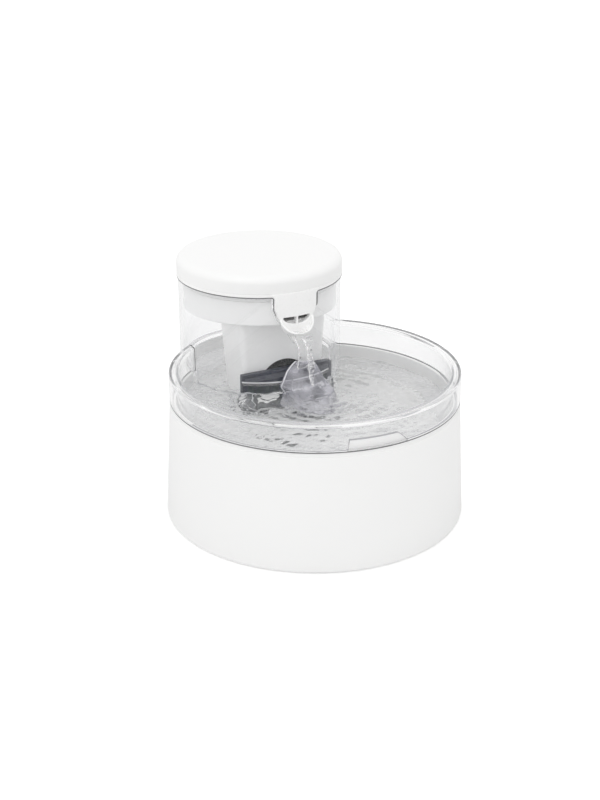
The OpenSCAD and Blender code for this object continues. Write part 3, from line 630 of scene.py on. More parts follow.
def clear(name, ior, tint, density, pass_colour, wave=0.0, wave_scale=60, haze=None):
    """Clear body that bends light, tints a long way through, and lets lamp light pass.

    The wave is the depth of a fine ripple. The haze is its colour, its mean share and its
    patches to the metre.
    """
    finish, make, link, out = blank(name)
    shader = node(make, "ShaderNodeBsdfPrincipled", {
        "Base Color": (1, 1, 1, 1), "Roughness": 0.0, "IOR": ior, "Transmission Weight": 1.0})
    if wave:
        raised(make, link, grain(make, link, wave_scale, 2), wave, shader)
    body = node(make, "ShaderNodeVolumeAbsorption", {"Color": (*tint, 1), "Density": density})
    passing = node(make, "ShaderNodeBsdfTransparent", {"Color": (*pass_colour, 1)})
    path = make("ShaderNodeLightPath")
    either = node(make, "ShaderNodeMath", operation="MAXIMUM")
    link(path.outputs["Is Shadow Ray"], either.inputs[0])
    link(path.outputs["Is Diffuse Ray"], either.inputs[1])
    solid = shader.outputs["BSDF"]
    if haze:
        colour, share, patches = haze
        milk = node(make, "ShaderNodeBsdfDiffuse", {"Color": (*colour, 1)})
        cloudy = spread(make, link, grain(make, link, patches, 2), 0.0, 2 * share)
        solid = mixed(make, link, cloudy, solid, milk.outputs["BSDF"])
    seen = mixed(make, link, either.outputs[0], solid, passing.outputs["BSDF"])
    trapped = node(make, "ShaderNodeMath", {1: TRAPPED_DEPTH}, operation="GREATER_THAN")
    link(path.outputs["Ray Depth"], trapped.inputs[0])
    glow = node(make, "ShaderNodeEmission", {"Color": TRAPPED_GLOW, "Strength": 1.0})
    surface = mixed(make, link, trapped.outputs[0], seen, glow.outputs["Emission"])
    link(surface, out.inputs["Surface"])
    link(body.outputs["Volume"], out.inputs["Volume"])
    return finish


def frosted(name, colour, share):
    """Milky plastic that lets part of the light straight through."""
    finish, make, link, out = blank(name)
    shader = node(make, "ShaderNodeBsdfPrincipled", {"Base Color": (*colour, 1), "Roughness": 0.45})
    haze = grain(make, link, 90, 3, (1, 1, 6))
    passing = make("ShaderNodeBsdfTransparent")
    opaque = spread(make, link, haze, share * 0.8, min(1, share * 1.2))
    link(mixed(make, link, opaque, passing.outputs["BSDF"], shader.outputs["BSDF"]), out.inputs["Surface"])
    return finish


def metal(name, colour, roughness):
    """Bare metal with fine drawn lines."""
    finish, make, link, out = blank(name)
    shader = node(make, "ShaderNodeBsdfPrincipled", {"Metallic": 1.0})
    lines = grain(make, link, 700, 5, (1, 1, 12))
    two_tone(make, link, lines, [c * 0.9 for c in colour], colour, shader)
    link(spread(make, link, lines, roughness * 0.7, roughness * 1.3), shader.inputs["Roughness"])
    link(shader.outputs["BSDF"], out.inputs["Surface"])
    return finish


def porous(name, colour, scale, depth):
    """Open foam or fleece: dark cells, whose dark tone paints the shade in the open pores, between pale
    strands.
    """
    finish, make, link, out = blank(name)
    shader = node(make, "ShaderNodeBsdfPrincipled", {"Roughness": 0.95, "Specular IOR Level": 0.2})
    place = make("ShaderNodeTexCoord")
    cells = node(make, "ShaderNodeTexVoronoi", {"Scale": scale})
    link(place.outputs["Object"], cells.inputs["Vector"])
    strands = cells.outputs["Distance"]
    # Painted shade: the cells' middles are darkened for the shade inside the open pores.
    two_tone(make, link, strands, [c * 0.45 for c in colour], [c * 1.7 for c in colour], shader)
    raised(make, link, strands, depth, shader)
    link(shader.outputs["BSDF"], out.inputs["Surface"])
    return finish


# ---------------------------------------------------------------- drum base
def drum_r(z):
    """Radius of the drum at a height."""
    return BASE_R - BASE_DRAFT * (z - FOOT_H)


def lobe_r(z):
    """Radius of the rear lobe at a height."""
    return LOBE_LOW_R - LOBE_DRAFT * (z - FOOT_H)


def arc_points(cx, cy, radius, start, end, steps):
    """Points of an arc, both ends included; angles in radians."""
    return [(cx + radius * math.cos(start + (end - start) * k / steps),
             cy + radius * math.sin(start + (end - start) * k / steps)) for k in range(steps + 1)]


def keyhole(drum, lobe, fillet, z):
    """Loop round the drum and the lobe, with fillets where they meet."""
    back = (APART ** 2 + (drum + fillet) ** 2 - (lobe + fillet) ** 2) / (2 * APART)
    side = math.sqrt((drum + fillet) ** 2 - back ** 2)
    on_drum = math.atan2(back, side)
    on_lobe = math.atan2(back - APART, side)
    outline = arc_points(0, DRUM_Y, drum, math.pi - on_drum, TAU + on_drum, 170)
    outline += arc_points(side, DRUM_Y + back, fillet, math.pi + on_drum, math.pi + on_lobe, 8)[1:]
    outline += arc_points(0, TOWER_Y, lobe, on_lobe, math.pi - on_lobe, 80)[1:]
    outline += arc_points(-side, DRUM_Y + back, fillet, -on_lobe, -on_drum, 8)[1:-1]
    return [(x, y, z) for x, y in outline]


def rod(name, x, y, radius, low, high, steps=32):
    """Upright round solid."""
    outline = arc_points(x, y, radius, 0, TAU * (steps - 1) / steps, steps - 1)
    return prism(name, outline, low, high, "Z")


SCREW_RING = BASE_R - 16
COVER_SCREWS = [(SCREW_RING * math.cos(math.radians(a)), DRUM_Y + SCREW_RING * math.sin(math.radians(a)))
                for a in (-150, -90, -30, 45, 135)] + [(-38, TOWER_Y + 34), (38, TOWER_Y + 34)]
FOOT_RING = BASE_R - 20
FEET = [(FOOT_RING * math.cos(math.radians(a)), DRUM_Y + FOOT_RING * math.sin(math.radians(a)))
        for a in (-125, -55, 20, 160)] + [(0, TOWER_Y + 48)]
MOTOR_SCREWS = [(-22, PUMP_Y), (22, PUMP_Y)]
BOARD_SCREWS = [(sx * 26, DRUM_Y - 20 + sy * 14) for sx in (-1, 1) for sy in (-1, 1)]
SOCKET_Y = HOUSING_HIGH.y - 8.1
SOCKET_Z = 14
LIP_IN = 97.5
LIP_OUT = 100.1
LIP_ROOT = 101.2
LIP_STEP_IN = 100.7
# Inner radius of the painted shade band on the lip.
LIP_SHADE_IN = 98.6
LIP_FOOT = SHOULDER_Z - 6
TAB_SLOPE = 11


def lip_band(name, settings, inner, outer, low, high, edge):
    """Ring that follows the lip and its tab, from a low to a high above it, or from the lip's foot."""
    loops = []
    steps = 720
    left = (settings.tab_place - settings.tab_width / 2) / MM
    right = left + settings.tab_width / MM
    for k in range(steps):
        angle = TAU * k / steps
        side = math.sin(angle) * outer
        share = 0
        if math.cos(angle) > 0:
            share = max(0, min(1, side - left + 1, (right + TAB_SLOPE - side) / TAB_SLOPE))
        rise = settings.tab_rise / MM * share * share * (3 - 2 * share)
        top = LEDGE_Z + rise + high
        foot = LIP_FOOT if low is None else LEDGE_Z + rise + low
        section = rounded([(inner, foot, 0), (outer, foot, 0), (outer, top, edge), (inner, top, edge)], 3)
        loops.append([(r * math.sin(angle), DRUM_Y - r * math.cos(angle), z) for r, z in section])
    return loft(name, loops, closed=True)


def lip_ring(settings):
    """White lip that stands inside the clear skirt, with the raised tab at its front."""
    ring = lip_band("lip", settings, LIP_IN, LIP_OUT, None, 0, 0.7)
    root = hoop("root", LIP_IN, LIP_ROOT, LIP_FOOT, SHOULDER_Z - 0.6, DRUM_Y)
    low = SHOULDER_Z - 0.7
    high = LEDGE_Z - 0.55
    outer = RIM_R - 0.5
    step = lathe("step", rounded([(LIP_STEP_IN, low, 0), (outer, low, 0), (outer, high, 0.2),
                                  (LIP_STEP_IN, high, 0.1)]), DRUM_Y)
    combine(ring, [root, step], "UNION")
    return combine(ring, [rod("clearance", 0, TOWER_Y, NECK_CLEAR_R, SHOULDER_Z - 8, 120, 160)],
                   "DIFFERENCE")


class FOUNTAIN_OT_housing(bpy.types.Operator):
    """Make the white drum base with its rear lobe, deck, lip and bosses"""

    bl_idname = "fountain.housing"
    bl_label = "Drum base"

    def execute(self, context):
        settings = context.scene.fountain_housing
        wall = settings.wall / MM
        section = rounded([(wall, DECK_TOP - 0.3, 0), (wall, SHOULDER_Z, 0.5),
                           (0, SHOULDER_Z, settings.edge / MM), (0, FOOT_H, 0.8),
                           (wall, FOOT_H, 0.3), (wall, DECK_UNDER_Z, 0)], 5, closed=False)
        loops = [keyhole(drum_r(z) - inset, lobe_r(z) - inset, settings.neck / MM + inset, z)
                 for inset, z in section]
        housing = loft("base_housing_looks", loops)
        combine(housing, [lip_ring(settings)], "UNION")
        # Each row: places, the boss's radius and foot, the hole's radius, foot and top.
        rows = ((COVER_SCREWS, 4.2, 3.7, 1.55, 0, 19), (MOTOR_SCREWS, 4.2, 6.4, 1.55, 5, 17),
                (BOARD_SCREWS, 3, 11.6, 1.25, 10, 19))
        bosses = [rod("boss", x, y, radius, low, DECK_UNDER_Z + 0.5)
                  for places, radius, low, _, _, _ in rows for x, y in places]
        combine(housing, [joined("bosses", bosses)], "UNION")
        barrel = hoop("barrel", 0, 8, 0, 8.6, 0, 64)
        recess = hoop("recess", 0, 6, 0, 12, 0, 64)
        bore = hoop("bore", 0, 4.05, -3, 2, 0, 48)
        lay = Matrix.Translation((0, 0, SOCKET_Z * MM)) @ Matrix.Rotation(-math.pi / 2, 4, "X")
        for tool, y in ((barrel, SOCKET_Y - 1.6), (recess, SOCKET_Y), (bore, SOCKET_Y)):
            tool.data.transform(Matrix.Translation((0, y * MM, 0)) @ lay)
        combine(housing, [barrel], "UNION")
        holes = [rod("hole", x, y, radius, low, high)
                 for places, _, _, radius, low, high in rows for x, y in places]
        combine(housing, [recess, bore, joined("holes", holes)], "DIFFERENCE")
        finish = moulded("White housing", settings.colour, 0.42, 1100, 0.000015, 0.006, thin=0.55)
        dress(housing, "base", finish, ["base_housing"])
        # Painted shade: a thin grey band along the front of the lip and its tab stands in for the shadow in
        # the gap under the clear skirt.
        shade_line = lip_band("lip_seal", settings, LIP_SHADE_IN, LIP_OUT + 0.1, -0.35, 0.12, 0.1)
        combine(shade_line, [box_solid("front", (-110, -140, 80), (110, DRUM_Y - 12, 110))], "INTERSECT")
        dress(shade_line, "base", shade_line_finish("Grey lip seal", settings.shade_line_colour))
        return {"FINISHED"}


def pan_screw(radius, head, height, length):
    """Pan head screw whose head looks down, with a cross recess."""
    screw = lathe("screw", rounded([(0, height * 0.15, 0), (head * 0.55, 0, 0.6), (head, height * 0.55, 0.4),
                                    (head, height, 0.1), (radius, height, 0), (radius, height + length, 0),
                                    (0, height + length + 0.6, 0)], 3), 0, 40)
    slot = box_solid("slot", (-head * 0.55, -0.35, -0.4), (head * 0.55, 0.35, height * 0.55))
    cross = box_solid("cross", (-0.35, -head * 0.55, -0.4), (0.35, head * 0.55, height * 0.55))
    return combine(screw, [slot, cross], "DIFFERENCE")


class FOUNTAIN_OT_fixings(bpy.types.Operator):
    """Set the screws and the rubber feet, one shape repeated on its places"""

    bl_idname = "fountain.fixings"
    bl_label = "Screws and feet"

    def execute(self, context):
        steel = metal("Zinc plated steel", (0.62, 0.63, 0.65), 0.32)
        rubber = moulded("Black rubber", (0.022, 0.022, 0.024), 0.75, 600, 0.00004, 0.1, 0.3)
        rows = (("cover_screws", COVER_SCREWS, FOOT_H + 0.2, (1.5, 3, 1.1, 15)),
                ("bracket_screws", MOTOR_SCREWS, 4.1, (1.5, 3, 1.1, 10)),
                ("board_screws", BOARD_SCREWS, 8.9, (1.2, 2.4, 1.1, 8)))
        for piece, places, low, sizes in rows:
            points = [((x, y, low), 1, (0, 0, i * 0.7)) for i, (x, y) in enumerate(places)]
            screws = repeat(piece + "_looks", pan_screw(*sizes), points, steel)
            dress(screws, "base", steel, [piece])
        foot = lathe("foot", rounded([(0, 0, 0), (5.2, 0, 0.3), (5.6, 0.35, 0.2), (6.4, 0.35, 0.2),
                                      (6.8, 0, 0.2), (8, 0, 0.5), (8, FOOT_H, 0.1),
                                      (0, FOOT_H, 0)], 3), 0, 72)
        points = [((x, y, 0), 1, (0, 0, 0)) for x, y in FEET]
        feet = repeat("rubber_feet_looks", foot, points, rubber)
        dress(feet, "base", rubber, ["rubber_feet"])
        return {"FINISHED"}


# ---------------------------------------------------------------- clear bowl
RIM_WIDTH = 7.3
TANK_R = RIM_R - RIM_WIDTH
TANK_WALL = 1.9
TANK_STEP = 0.8
BEND_IN = 16.4
BEND_UP = 17
LOBE_TANK_R = TOWER_R - TOWER_WALL - GAP
LOBE_WALL = 2.3
LOBE_CAVITY_R = LOBE_TANK_R - LOBE_WALL
PUMP_SEAT_R = 20.3
BOWL_STEPS = 256


def tank_bend(radius, z, steps=14):
    """Quarter of an ellipse that rounds the tank's lower corner, from the floor up."""
    turns = [math.pi / 2 * k / steps for k in range(steps + 1)]
    return [(radius - BEND_IN + BEND_IN * math.sin(turn), z + BEND_UP * (1 - math.cos(turn)))
            for turn in turns]


def drum_cavity(name, grow, floor, top, steps=240):
    """Solid that fills the drum's tank."""
    bend = tank_bend(TANK_R - TANK_STEP + grow, floor)
    wall = [(TANK_R + grow, z) for z in (RIM_TOP - 1.6, top) if z <= top]
    return lathe(name, [(0, floor)] + bend + wall + [(0, top)], DRUM_Y, steps)


def lobe_cavity(name, grow, floor, top):
    """Solid that fills the tank's lobe under the tower."""
    radius = LOBE_CAVITY_R + grow
    outline = rounded([(0, floor, 0), (radius, floor, 2), (radius, top, 0), (0, top, 0)])
    return lathe(name, outline, TOWER_Y, 200)


class FOUNTAIN_OT_bowl(bpy.types.Operator):
    """Make the clear bowl with its rim, skirt, tank and the ledge for the tower"""

    bl_idname = "fountain.bowl"
    bl_label = "Clear bowl"

    def execute(self, context):
        settings = context.scene.fountain_clear
        inner = RIM_R - settings.wall / MM
        tank = TANK_R + TANK_WALL
        cap = RIM_TOP - 2.2
        low = DECK_TOP
        hem = LEDGE_Z + 0.25
        outline = [(0, low)] + tank_bend(tank - TANK_STEP, low)
        outline += rounded([(tank, cap - 5, 0), (tank, cap, 0.8), (inner, cap, 0.8), (inner, hem, 0.3),
                            (RIM_R, hem, 0.2), (RIM_R, RIM_TOP, 1.4), (TANK_R, RIM_TOP, 1.6),
                            (TANK_R, RIM_TOP - 4, 0)], 6, closed=False)
        outline += [(0, RIM_TOP - 4)]
        bowl = lathe("bowl_looks", outline, DRUM_Y, BOWL_STEPS)
        flange = TOWER_R + 0.9
        under = SHOULDER_Z + 0.02
        lobe = lathe("lobe", rounded([(0, low, 0), (LOBE_TANK_R, low, 2), (LOBE_TANK_R, under, 0),
                                      (flange, under, 0.1), (flange, LEDGE_Z, 0.1), (0, LEDGE_Z, 0)], 2),
                     TOWER_Y, 220)
        caps = hoop("caps", tank - 1, inner + 1, SKIRT_Z, RIM_TOP - 2, DRUM_Y, BOWL_STEPS)
        keep = hoop("keep", TOWER_R - 1, TOWER_R + GAP + 2, 80, 110, TOWER_Y, 220)
        combine(caps, [keep], "INTERSECT")
        combine(bowl, [lobe, caps], "UNION")
        tools = [drum_cavity("drum_tank", 0, FLOOR_Z, RIM_TOP + 1, BOWL_STEPS),
                 lobe_cavity("lobe_tank", 0, FLOOR_Z, RIM_TOP + 1),
                 rod("tower_seat", 0, TOWER_Y, TOWER_R + GAP, LEDGE_Z, 140, 220)]
        combine(bowl, tools, "DIFFERENCE")
        root = FLOOR_Z - 0.5
        boss = lathe("boss", rounded([(0, root, 0), (4, root, 0), (4, FLOOR_Z + 2, 0.4),
                                      (0, FLOOR_Z + 2, 0)], 3), PUMP_Y, 48)
        ring = lathe("ring", rounded([(PUMP_SEAT_R - 2, root, 0), (PUMP_SEAT_R, root, 0),
                                      (PUMP_SEAT_R, FLOOR_Z + 4, 0.5), (PUMP_SEAT_R - 2, FLOOR_Z + 4, 0.5)],
                                     3), PUMP_Y, 96)
        combine(bowl, [boss, ring], "UNION")
        slot = box_solid("slot", (-PUMP_SEAT_R, FOAM_LOW.y - 4, FLOOR_Z),
                         (PUMP_SEAT_R, FOAM_HIGH.y + 0.15, FLOOR_Z + 5))
        combine(bowl, [rod("pin", 0, PUMP_Y, 1.52, DECK_TOP + 1, 60), slot], "DIFFERENCE")
        finish = clear("Clear bowl plastic", 1.36, settings.tint, settings.density, CLEAR_PASS)
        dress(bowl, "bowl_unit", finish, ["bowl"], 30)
        # Painted shade: a thin grey ring at the skirt's lower edge stands in for the dark line of shade
        # where the skirt meets the lip.
        shade_line = hoop("hem_seal", inner + 0.1, RIM_R - 0.02, hem - 0.75, hem - 0.02, DRUM_Y, BOWL_STEPS)
        combine(shade_line, [rod("clearance", 0, TOWER_Y, NECK_CLEAR_R, 80, 90, 200)], "DIFFERENCE")
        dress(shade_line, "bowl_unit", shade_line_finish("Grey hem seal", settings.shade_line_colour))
        self.rim_end(tank)
        return {"FINISHED"}

    def rim_end(self, tank):
        """Dark tube of painted shade over the rim where it ends at the tower's left, for the dark line that
        the clear end shows there.
        """
        run = [(tank + 0.1, LEDGE_Z + 0.4), (tank + 0.1, RIM_TOP - 4), (tank + 0.2, RIM_TOP - 2),
               (tank + 0.8, RIM_TOP - 0.6), (tank + 2.2, RIM_TOP), (RIM_R - 2.2, RIM_TOP),
               (RIM_R - 0.8, RIM_TOP - 0.5), (RIM_R - 0.2, RIM_TOP - 1.6)]
        path = []
        seat = TOWER_R + GAP + 0.1
        for radius, z in run:
            back = (APART ** 2 + radius ** 2 - seat ** 2) / (2 * APART)
            side = math.sqrt(radius ** 2 - back ** 2)
            path.append((-side, DRUM_Y + back, z))
        edge = tube("rim_end", path, 0.42)
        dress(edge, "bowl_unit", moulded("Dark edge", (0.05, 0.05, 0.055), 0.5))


# ---------------------------------------------------------------- tower
AHEAD_Y = TOWER_Y - 90
TANK_GAP = 1.2
SHIELD_HALF = 16.5
SHIELD_FLARE = 2
ABOVE_Z = 200
WINDOW_HALF = 31
WINDOW_LOW = 42
WINDOW_HIGH = 76


def shield_outline(grow, top, tip):
    """Outline of the spout's shield from the front; grow widens it for the tower's notch."""
    half = SHIELD_HALF
    wide = half + grow
    side = [(wide + SHIELD_FLARE, top), (wide + SHIELD_FLARE, RING_Z)]
    for degrees in (72, 54, 36, 18, 0):
        turn = math.radians(degrees)
        out = SHIELD_FLARE * (1 - math.cos(turn))
        side.append((wide + out, RING_Z - SHIELD_FLARE * (1 - math.sin(turn))))
    lower = rounded([(wide, RING_Z - 6, 0), (wide, TOWER_TOP - 9.5, 3),
                     (half * 0.81 + grow, TOWER_TOP - 17.5, 14), (half * 0.49 + grow, TOWER_TOP - 25, 14),
                     (1.4 + grow, tip - grow, 1.2), (0, tip - grow, 0)], 6, closed=False)
    side += lower[:-1]
    return side + [(-x, z) for x, z in reversed(side)]


def notch_solid(line):
    """All that lies above the tower's top and in its notch, a little wider on the notch's right."""
    tip = RING_LOW.z + 1
    notch = prism("notch", shield_outline(GAP + line, ABOVE_Z, tip), AHEAD_Y, TOWER_Y)
    above = hoop("above", 0, TOWER_R + 5, TOWER_TOP - 1.6 * line, ABOVE_Z, TOWER_Y, 96)
    right = prism("right", shield_outline(GAP + 1.5, ABOVE_Z, tip), AHEAD_Y, TOWER_Y)
    combine(right, [box_solid("keep", (5, -60, TOWER_TOP - 11), (40, 60, 220))], "INTERSECT")
    return combine(notch, [above, right], "UNION")


def tower_guides(inner, foot):
    """Rails and shelf inside the tower that the filter slides between and stands on."""
    front = FILTER_LOW.y
    back = FILTER_HIGH.y
    half = FILTER_HIGH.x
    guides = []
    for side in (-1, 1):
        for low, high, start in ((front - 2.5, front - 0.3, half - 3), (back + 0.3, back + 2.5, half + 0.5)):
            xs = sorted((side * start, side * 60))
            guides.append(box_solid("rail", (xs[0], low, FILTER_LOW.z - 1), (xs[1], high, WATER_Z - 1)))
    guides.append(box_solid("shelf", (-60, front - 1.5, foot), (60, back, foot + 2.4)))
    combine(guides[0], guides[1:], "UNION")
    inside = rod("inside", 0, TOWER_Y, inner + 0.5, foot, FILTER_HIGH.z, 200)
    return combine(guides[0], [inside, drum_cavity("reach", -TANK_GAP, FLOOR_Z, LEDGE_Z + 2)], "INTERSECT")


class FOUNTAIN_OT_tower(bpy.types.Operator):
    """Make the clear tower that stands behind the rim, with its notch, inlet and guides"""

    bl_idname = "fountain.tower"
    bl_label = "Clear tower"

    def execute(self, context):
        settings = context.scene.fountain_clear
        inner = TOWER_R - settings.tower_wall / MM
        foot = FLOOR_Z + GAP
        levels = np.arange(foot + 3, TOWER_TOP - 2, 3)
        outline = [(inner, foot), (TOWER_R, foot)]
        outline += [(TOWER_R, z) for z in levels]
        outline += rounded([(TOWER_R, levels[-1], 0), (TOWER_R, TOWER_TOP, 0.7), (inner, TOWER_TOP, 0.5),
                            (inner, levels[-1], 0)], 4, closed=False)[1:]
        outline += [(inner, z) for z in levels[-2::-1]]
        tower = lathe("tower_shell_looks", outline, TOWER_Y, 256)
        under = hoop("under", 0, TOWER_R + 5, foot - 1, LEDGE_Z, TOWER_Y, 96)
        combine(under, [drum_cavity("reach", -TANK_GAP, FLOOR_Z - 2, LEDGE_Z + 2)], "DIFFERENCE")
        combine(tower, [under], "DIFFERENCE")
        combine(tower, [tower_guides(inner, foot)], "UNION")
        line = settings.shade_line_width / MM
        notch = notch_solid(line)
        # Painted shade: a thin grey line round the tower's top and along its notch.
        self.edge(settings.shade_line_colour, line)
        # Painted shade and painted highlight: a grey frosted band under the ledge's step, with a pale line
        # above it.
        self.painted_band(inner, "tower_sill", 3.4, 1.5, 0.26, 0.5)
        self.painted_band(inner, "sill_line", 1.5, 0.6, 0.85, 0.8)
        window = rounded([(-WINDOW_HALF, WINDOW_LOW, 3), (WINDOW_HALF, WINDOW_LOW, 3),
                          (WINDOW_HALF, WINDOW_HIGH, 3), (-WINDOW_HALF, WINDOW_HIGH, 3)])
        combine(tower, [notch, prism("window", window, AHEAD_Y, TOWER_Y - 35)], "DIFFERENCE")
        finish = clear("Clear tower plastic", PLASTIC_IOR, settings.tint, settings.tower_density, CLEAR_PASS)
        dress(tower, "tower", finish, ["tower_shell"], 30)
        true_round(tower, TOWER_Y, (TOWER_R, inner))
        return {"FINISHED"}

    def edge(self, colour, line):
        """Grey line of painted shade round the tower's top and along its notch, for the dark line that the
        clear edge shows.
        """
        skin = TOWER_R - 0.5
        low = TOWER_TOP - 14
        top = TOWER_TOP - 1.6 * line
        side = BAND_R - 0.05
        edge = lathe("tower_edge", [(skin, low), (TOWER_R, low), (TOWER_R, top), (side, top + 0.35),
                                    (side, RING_LOW_EDGE), (skin, RING_LOW_EDGE)], TOWER_Y, 256)
        combine(edge, [notch_solid(line)], "INTERSECT")
        gap = prism("gap", shield_outline(GAP, ABOVE_Z, RING_LOW.z + 1), AHEAD_Y, TOWER_Y)
        combine(edge, [gap], "DIFFERENCE")
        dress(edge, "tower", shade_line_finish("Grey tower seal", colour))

    def painted_band(self, inner, name, low, high, tone, share):
        """Frosted band inside the tower's front, between two depths below the ledge; a dark tone paints
        shade there, a pale tone paints a highlight.
        """
        painted_band = hoop(name, inner - 0.6, inner - 0.15, LEDGE_Z - low, LEDGE_Z - high, TOWER_Y, 200)
        combine(painted_band, [box_solid("front", (-36, 0, 70), (31, 40, 95))], "INTERSECT")
        finish = frosted(name.replace("_", " "), (tone, tone, tone * 1.02), share)
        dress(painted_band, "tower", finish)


# ---------------------------------------------------------------- filter and foam
RIB_COUNT = 9
CAP_RIBS = 16
WAVE_LENGTH = 3.2
WAVE_DEPTH = 0.35
CELL = 0.9


class FOUNTAIN_OT_filter(bpy.types.Operator):
    """Make the filter cartridge: navy frame with its rail and ribs, and the carbon fleece"""

    bl_idname = "fountain.filter"
    bl_label = "Filter cartridge"

    def execute(self, context):
        settings = context.scene.fountain_filter
        border = settings.border / MM
        rail = settings.rail / MM
        low, high = FILTER_LOW, FILTER_HIGH
        rail_z = high.z - rail
        face = rounded([(low.x, low.z, 1.5), (high.x, low.z, 1.5), (high.x, high.z, 0.8),
                        (low.x, high.z, 0.8)], 4)
        body = prism("filter_frame_looks", face, low.y, high.y)
        hole = rounded([(low.x + border, low.z + border, 1.5), (high.x - border, low.z + border, 1.5),
                        (high.x - border, rail_z, 1.5), (low.x + border, rail_z, 1.5)], 4)
        combine(body, [prism("hole", hole, low.y - 1, high.y + 1)], "DIFFERENCE")
        groove = box_solid("groove", (low.x + 2, low.y - 1, rail_z + 2),
                           (high.x - 2, low.y + 0.6, high.z - 2.5))
        combine(body, [groove], "DIFFERENCE")
        round_edges(body, 0.3)
        frame_finish = moulded("Navy plastic", settings.frame_colour, 0.3, 700, 0.00002, 0.08)
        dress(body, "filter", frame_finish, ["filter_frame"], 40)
        rib = box_solid("rib", (-0.5, 0, low.z + border - 0.5), (0.5, 0.7, rail_z + 0.5))
        step = (high.x - low.x - 2 * border) / (RIB_COUNT + 1)
        places = [((low.x + border + step * (i + 1), low.y + 0.05, 0), 1, (0, 0, 0))
                  for i in range(RIB_COUNT)]
        ribs = repeat("filter_ribs", rib, places, frame_finish)
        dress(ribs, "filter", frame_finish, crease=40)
        # A lighter grey strip lies in the rail's groove.
        strip = box_solid("filter_strip", (low.x + 2.3, low.y + 0.25, rail_z + 2.2),
                          (high.x - 2.3, low.y + 0.65, high.z - 2.7))
        grey = moulded("Grey seal strip", settings.strip_colour, 0.4, 700, 0.00002, 0.05)
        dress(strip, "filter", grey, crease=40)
        self.cap(settings)
        self.pad(settings)
        return {"FINISHED"}

    def cap(self, settings):
        """White ribbed cap on the cartridge's face."""
        radius = (CAP_HIGH.x - CAP_LOW.x) / 2
        centre = (CAP_LOW + CAP_HIGH) / 2
        thick = CAP_HIGH.y - CAP_LOW.y
        cap = lathe("cap", rounded([(0, 0, 0), (radius - 0.6, 0, 0), (radius - 0.6, thick, 0.5),
                                    (radius - 2.4, thick, 0.2), (radius - 2.8, thick - 0.35, 0.2),
                                    (0, thick - 0.35, 0)], 4), 0, 96)
        finish = moulded("White cap", settings.cap_colour, 0.35, 900, 0.00001, 0.01)
        rib = box_solid("edge_rib", (radius - 1.4, -0.5, 0), (radius - 0.05, 0.5, thick - 0.3))
        turns = [((0, 0, 0), 1, (0, 0, TAU * k / CAP_RIBS)) for k in range(CAP_RIBS)]
        cap = joined("filter_cap_looks", [cap, repeat("cap_ribs", rib, turns, finish)])
        stand = Matrix.Translation((centre.x * MM, CAP_HIGH.y * MM, centre.z * MM))
        cap.data.transform(stand @ Matrix.Rotation(math.pi / 2, 4, "X"))
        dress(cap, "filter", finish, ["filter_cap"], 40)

    def pad(self, settings):
        """Carbon fleece, pressed in fine upright waves."""
        columns = 120
        rows = 60
        verts = []
        for face_y, sign in ((PAD_LOW.y, -1), (PAD_HIGH.y, 1)):
            for j in range(rows + 1):
                for i in range(columns + 1):
                    x = PAD_LOW.x + (PAD_HIGH.x - PAD_LOW.x) * i / columns
                    z = PAD_LOW.z + (PAD_HIGH.z - PAD_LOW.z) * j / rows
                    fade = min(1, 8 * min(i, columns - i) / columns, 8 * min(j, rows - j) / rows)
                    wave = WAVE_DEPTH * fade * (math.cos(x * TAU / WAVE_LENGTH) - 1) / 2
                    wave += 0.2 * fade * (noise.noise(Vector((x, face_y, z)) * 0.4) - 0.5)
                    verts.append((x, face_y + sign * min(0, wave), z))
        sheet = (rows + 1) * (columns + 1)
        faces = grid_faces(columns + 1, rows + 1) + grid_faces(columns + 1, rows + 1, sheet)
        edge = grid_edge(columns + 1, rows + 1)
        for a, b in zip(edge, edge[1:] + edge[:1]):
            faces.append([a, b, b + sheet, a + sheet])
        pad = plain_object("filter_pad_looks", verts, faces)
        fleece = porous("Carbon fleece", settings.pad_colour, 1400, 0.0002)
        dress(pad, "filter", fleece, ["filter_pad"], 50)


class FOUNTAIN_OT_foam(bpy.types.Operator):
    """Make the black foam sleeve with its arched top and its open cells"""

    bl_idname = "fountain.foam"
    bl_label = "Foam sleeve"

    def execute(self, context):
        radius = FOAM_HIGH.x
        arch = FOAM_HIGH.z - radius
        outline = [(-radius, FOAM_LOW.z), (radius, FOAM_LOW.z)]
        outline += arc_points(0, arch, radius, 0, math.pi, 40)
        block = prism("prefilter_foam_looks", outline, FOAM_LOW.y, FOAM_HIGH.y)
        cells = block.modifiers.new("Cells", "REMESH")
        cells.mode = "VOXEL"
        cells.voxel_size = CELL * MM
        settle(block)
        for vert in block.data.vertices:
            place = vert.co / MM
            dent = max(0, noise.noise(place * 0.9) - 0.05) * CELL
            inward = Vector((0, (FOAM_LOW.y + FOAM_HIGH.y) / 2, 60)) - place
            vert.co += inward.normalized() * dent * MM
        finish = porous("Black foam", (0.012, 0.012, 0.013), 900, 0.0006)
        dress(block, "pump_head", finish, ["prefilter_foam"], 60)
        return {"FINISHED"}


# ---------------------------------------------------------------- upper basin, spout and lid
COLLAR_R = TOWER_R - TOWER_WALL - GAP
RING_TOP = LID_LOW.z if LID_LOW.z > RING_Z else RING_Z + 2.4
OUTLET_HALF = 11.1
RISER_R = 9.22
SHROUD_TAPER = 6.5
SHROUD_FRONT = DRUM_Y + 48.5
SHROUD_BACK = DRUM_Y + 75
ARCH_R = 20.5


def shroud_loop(half, inset, z, corner=4.5):
    """D-shaped loop of the shroud at a height."""
    front = SHROUD_FRONT + inset
    radius = half - inset
    bend = corner - inset
    outline = rounded([(-radius, SHROUD_BACK, 0), (-radius, front, bend), (radius, front, bend),
                       (radius, SHROUD_BACK, 0)], 6, closed=False)
    outline += arc_points(0, SHROUD_BACK, radius, 0, math.pi, 40)[1:-1]
    return [(x, y, z) for x, y in outline]


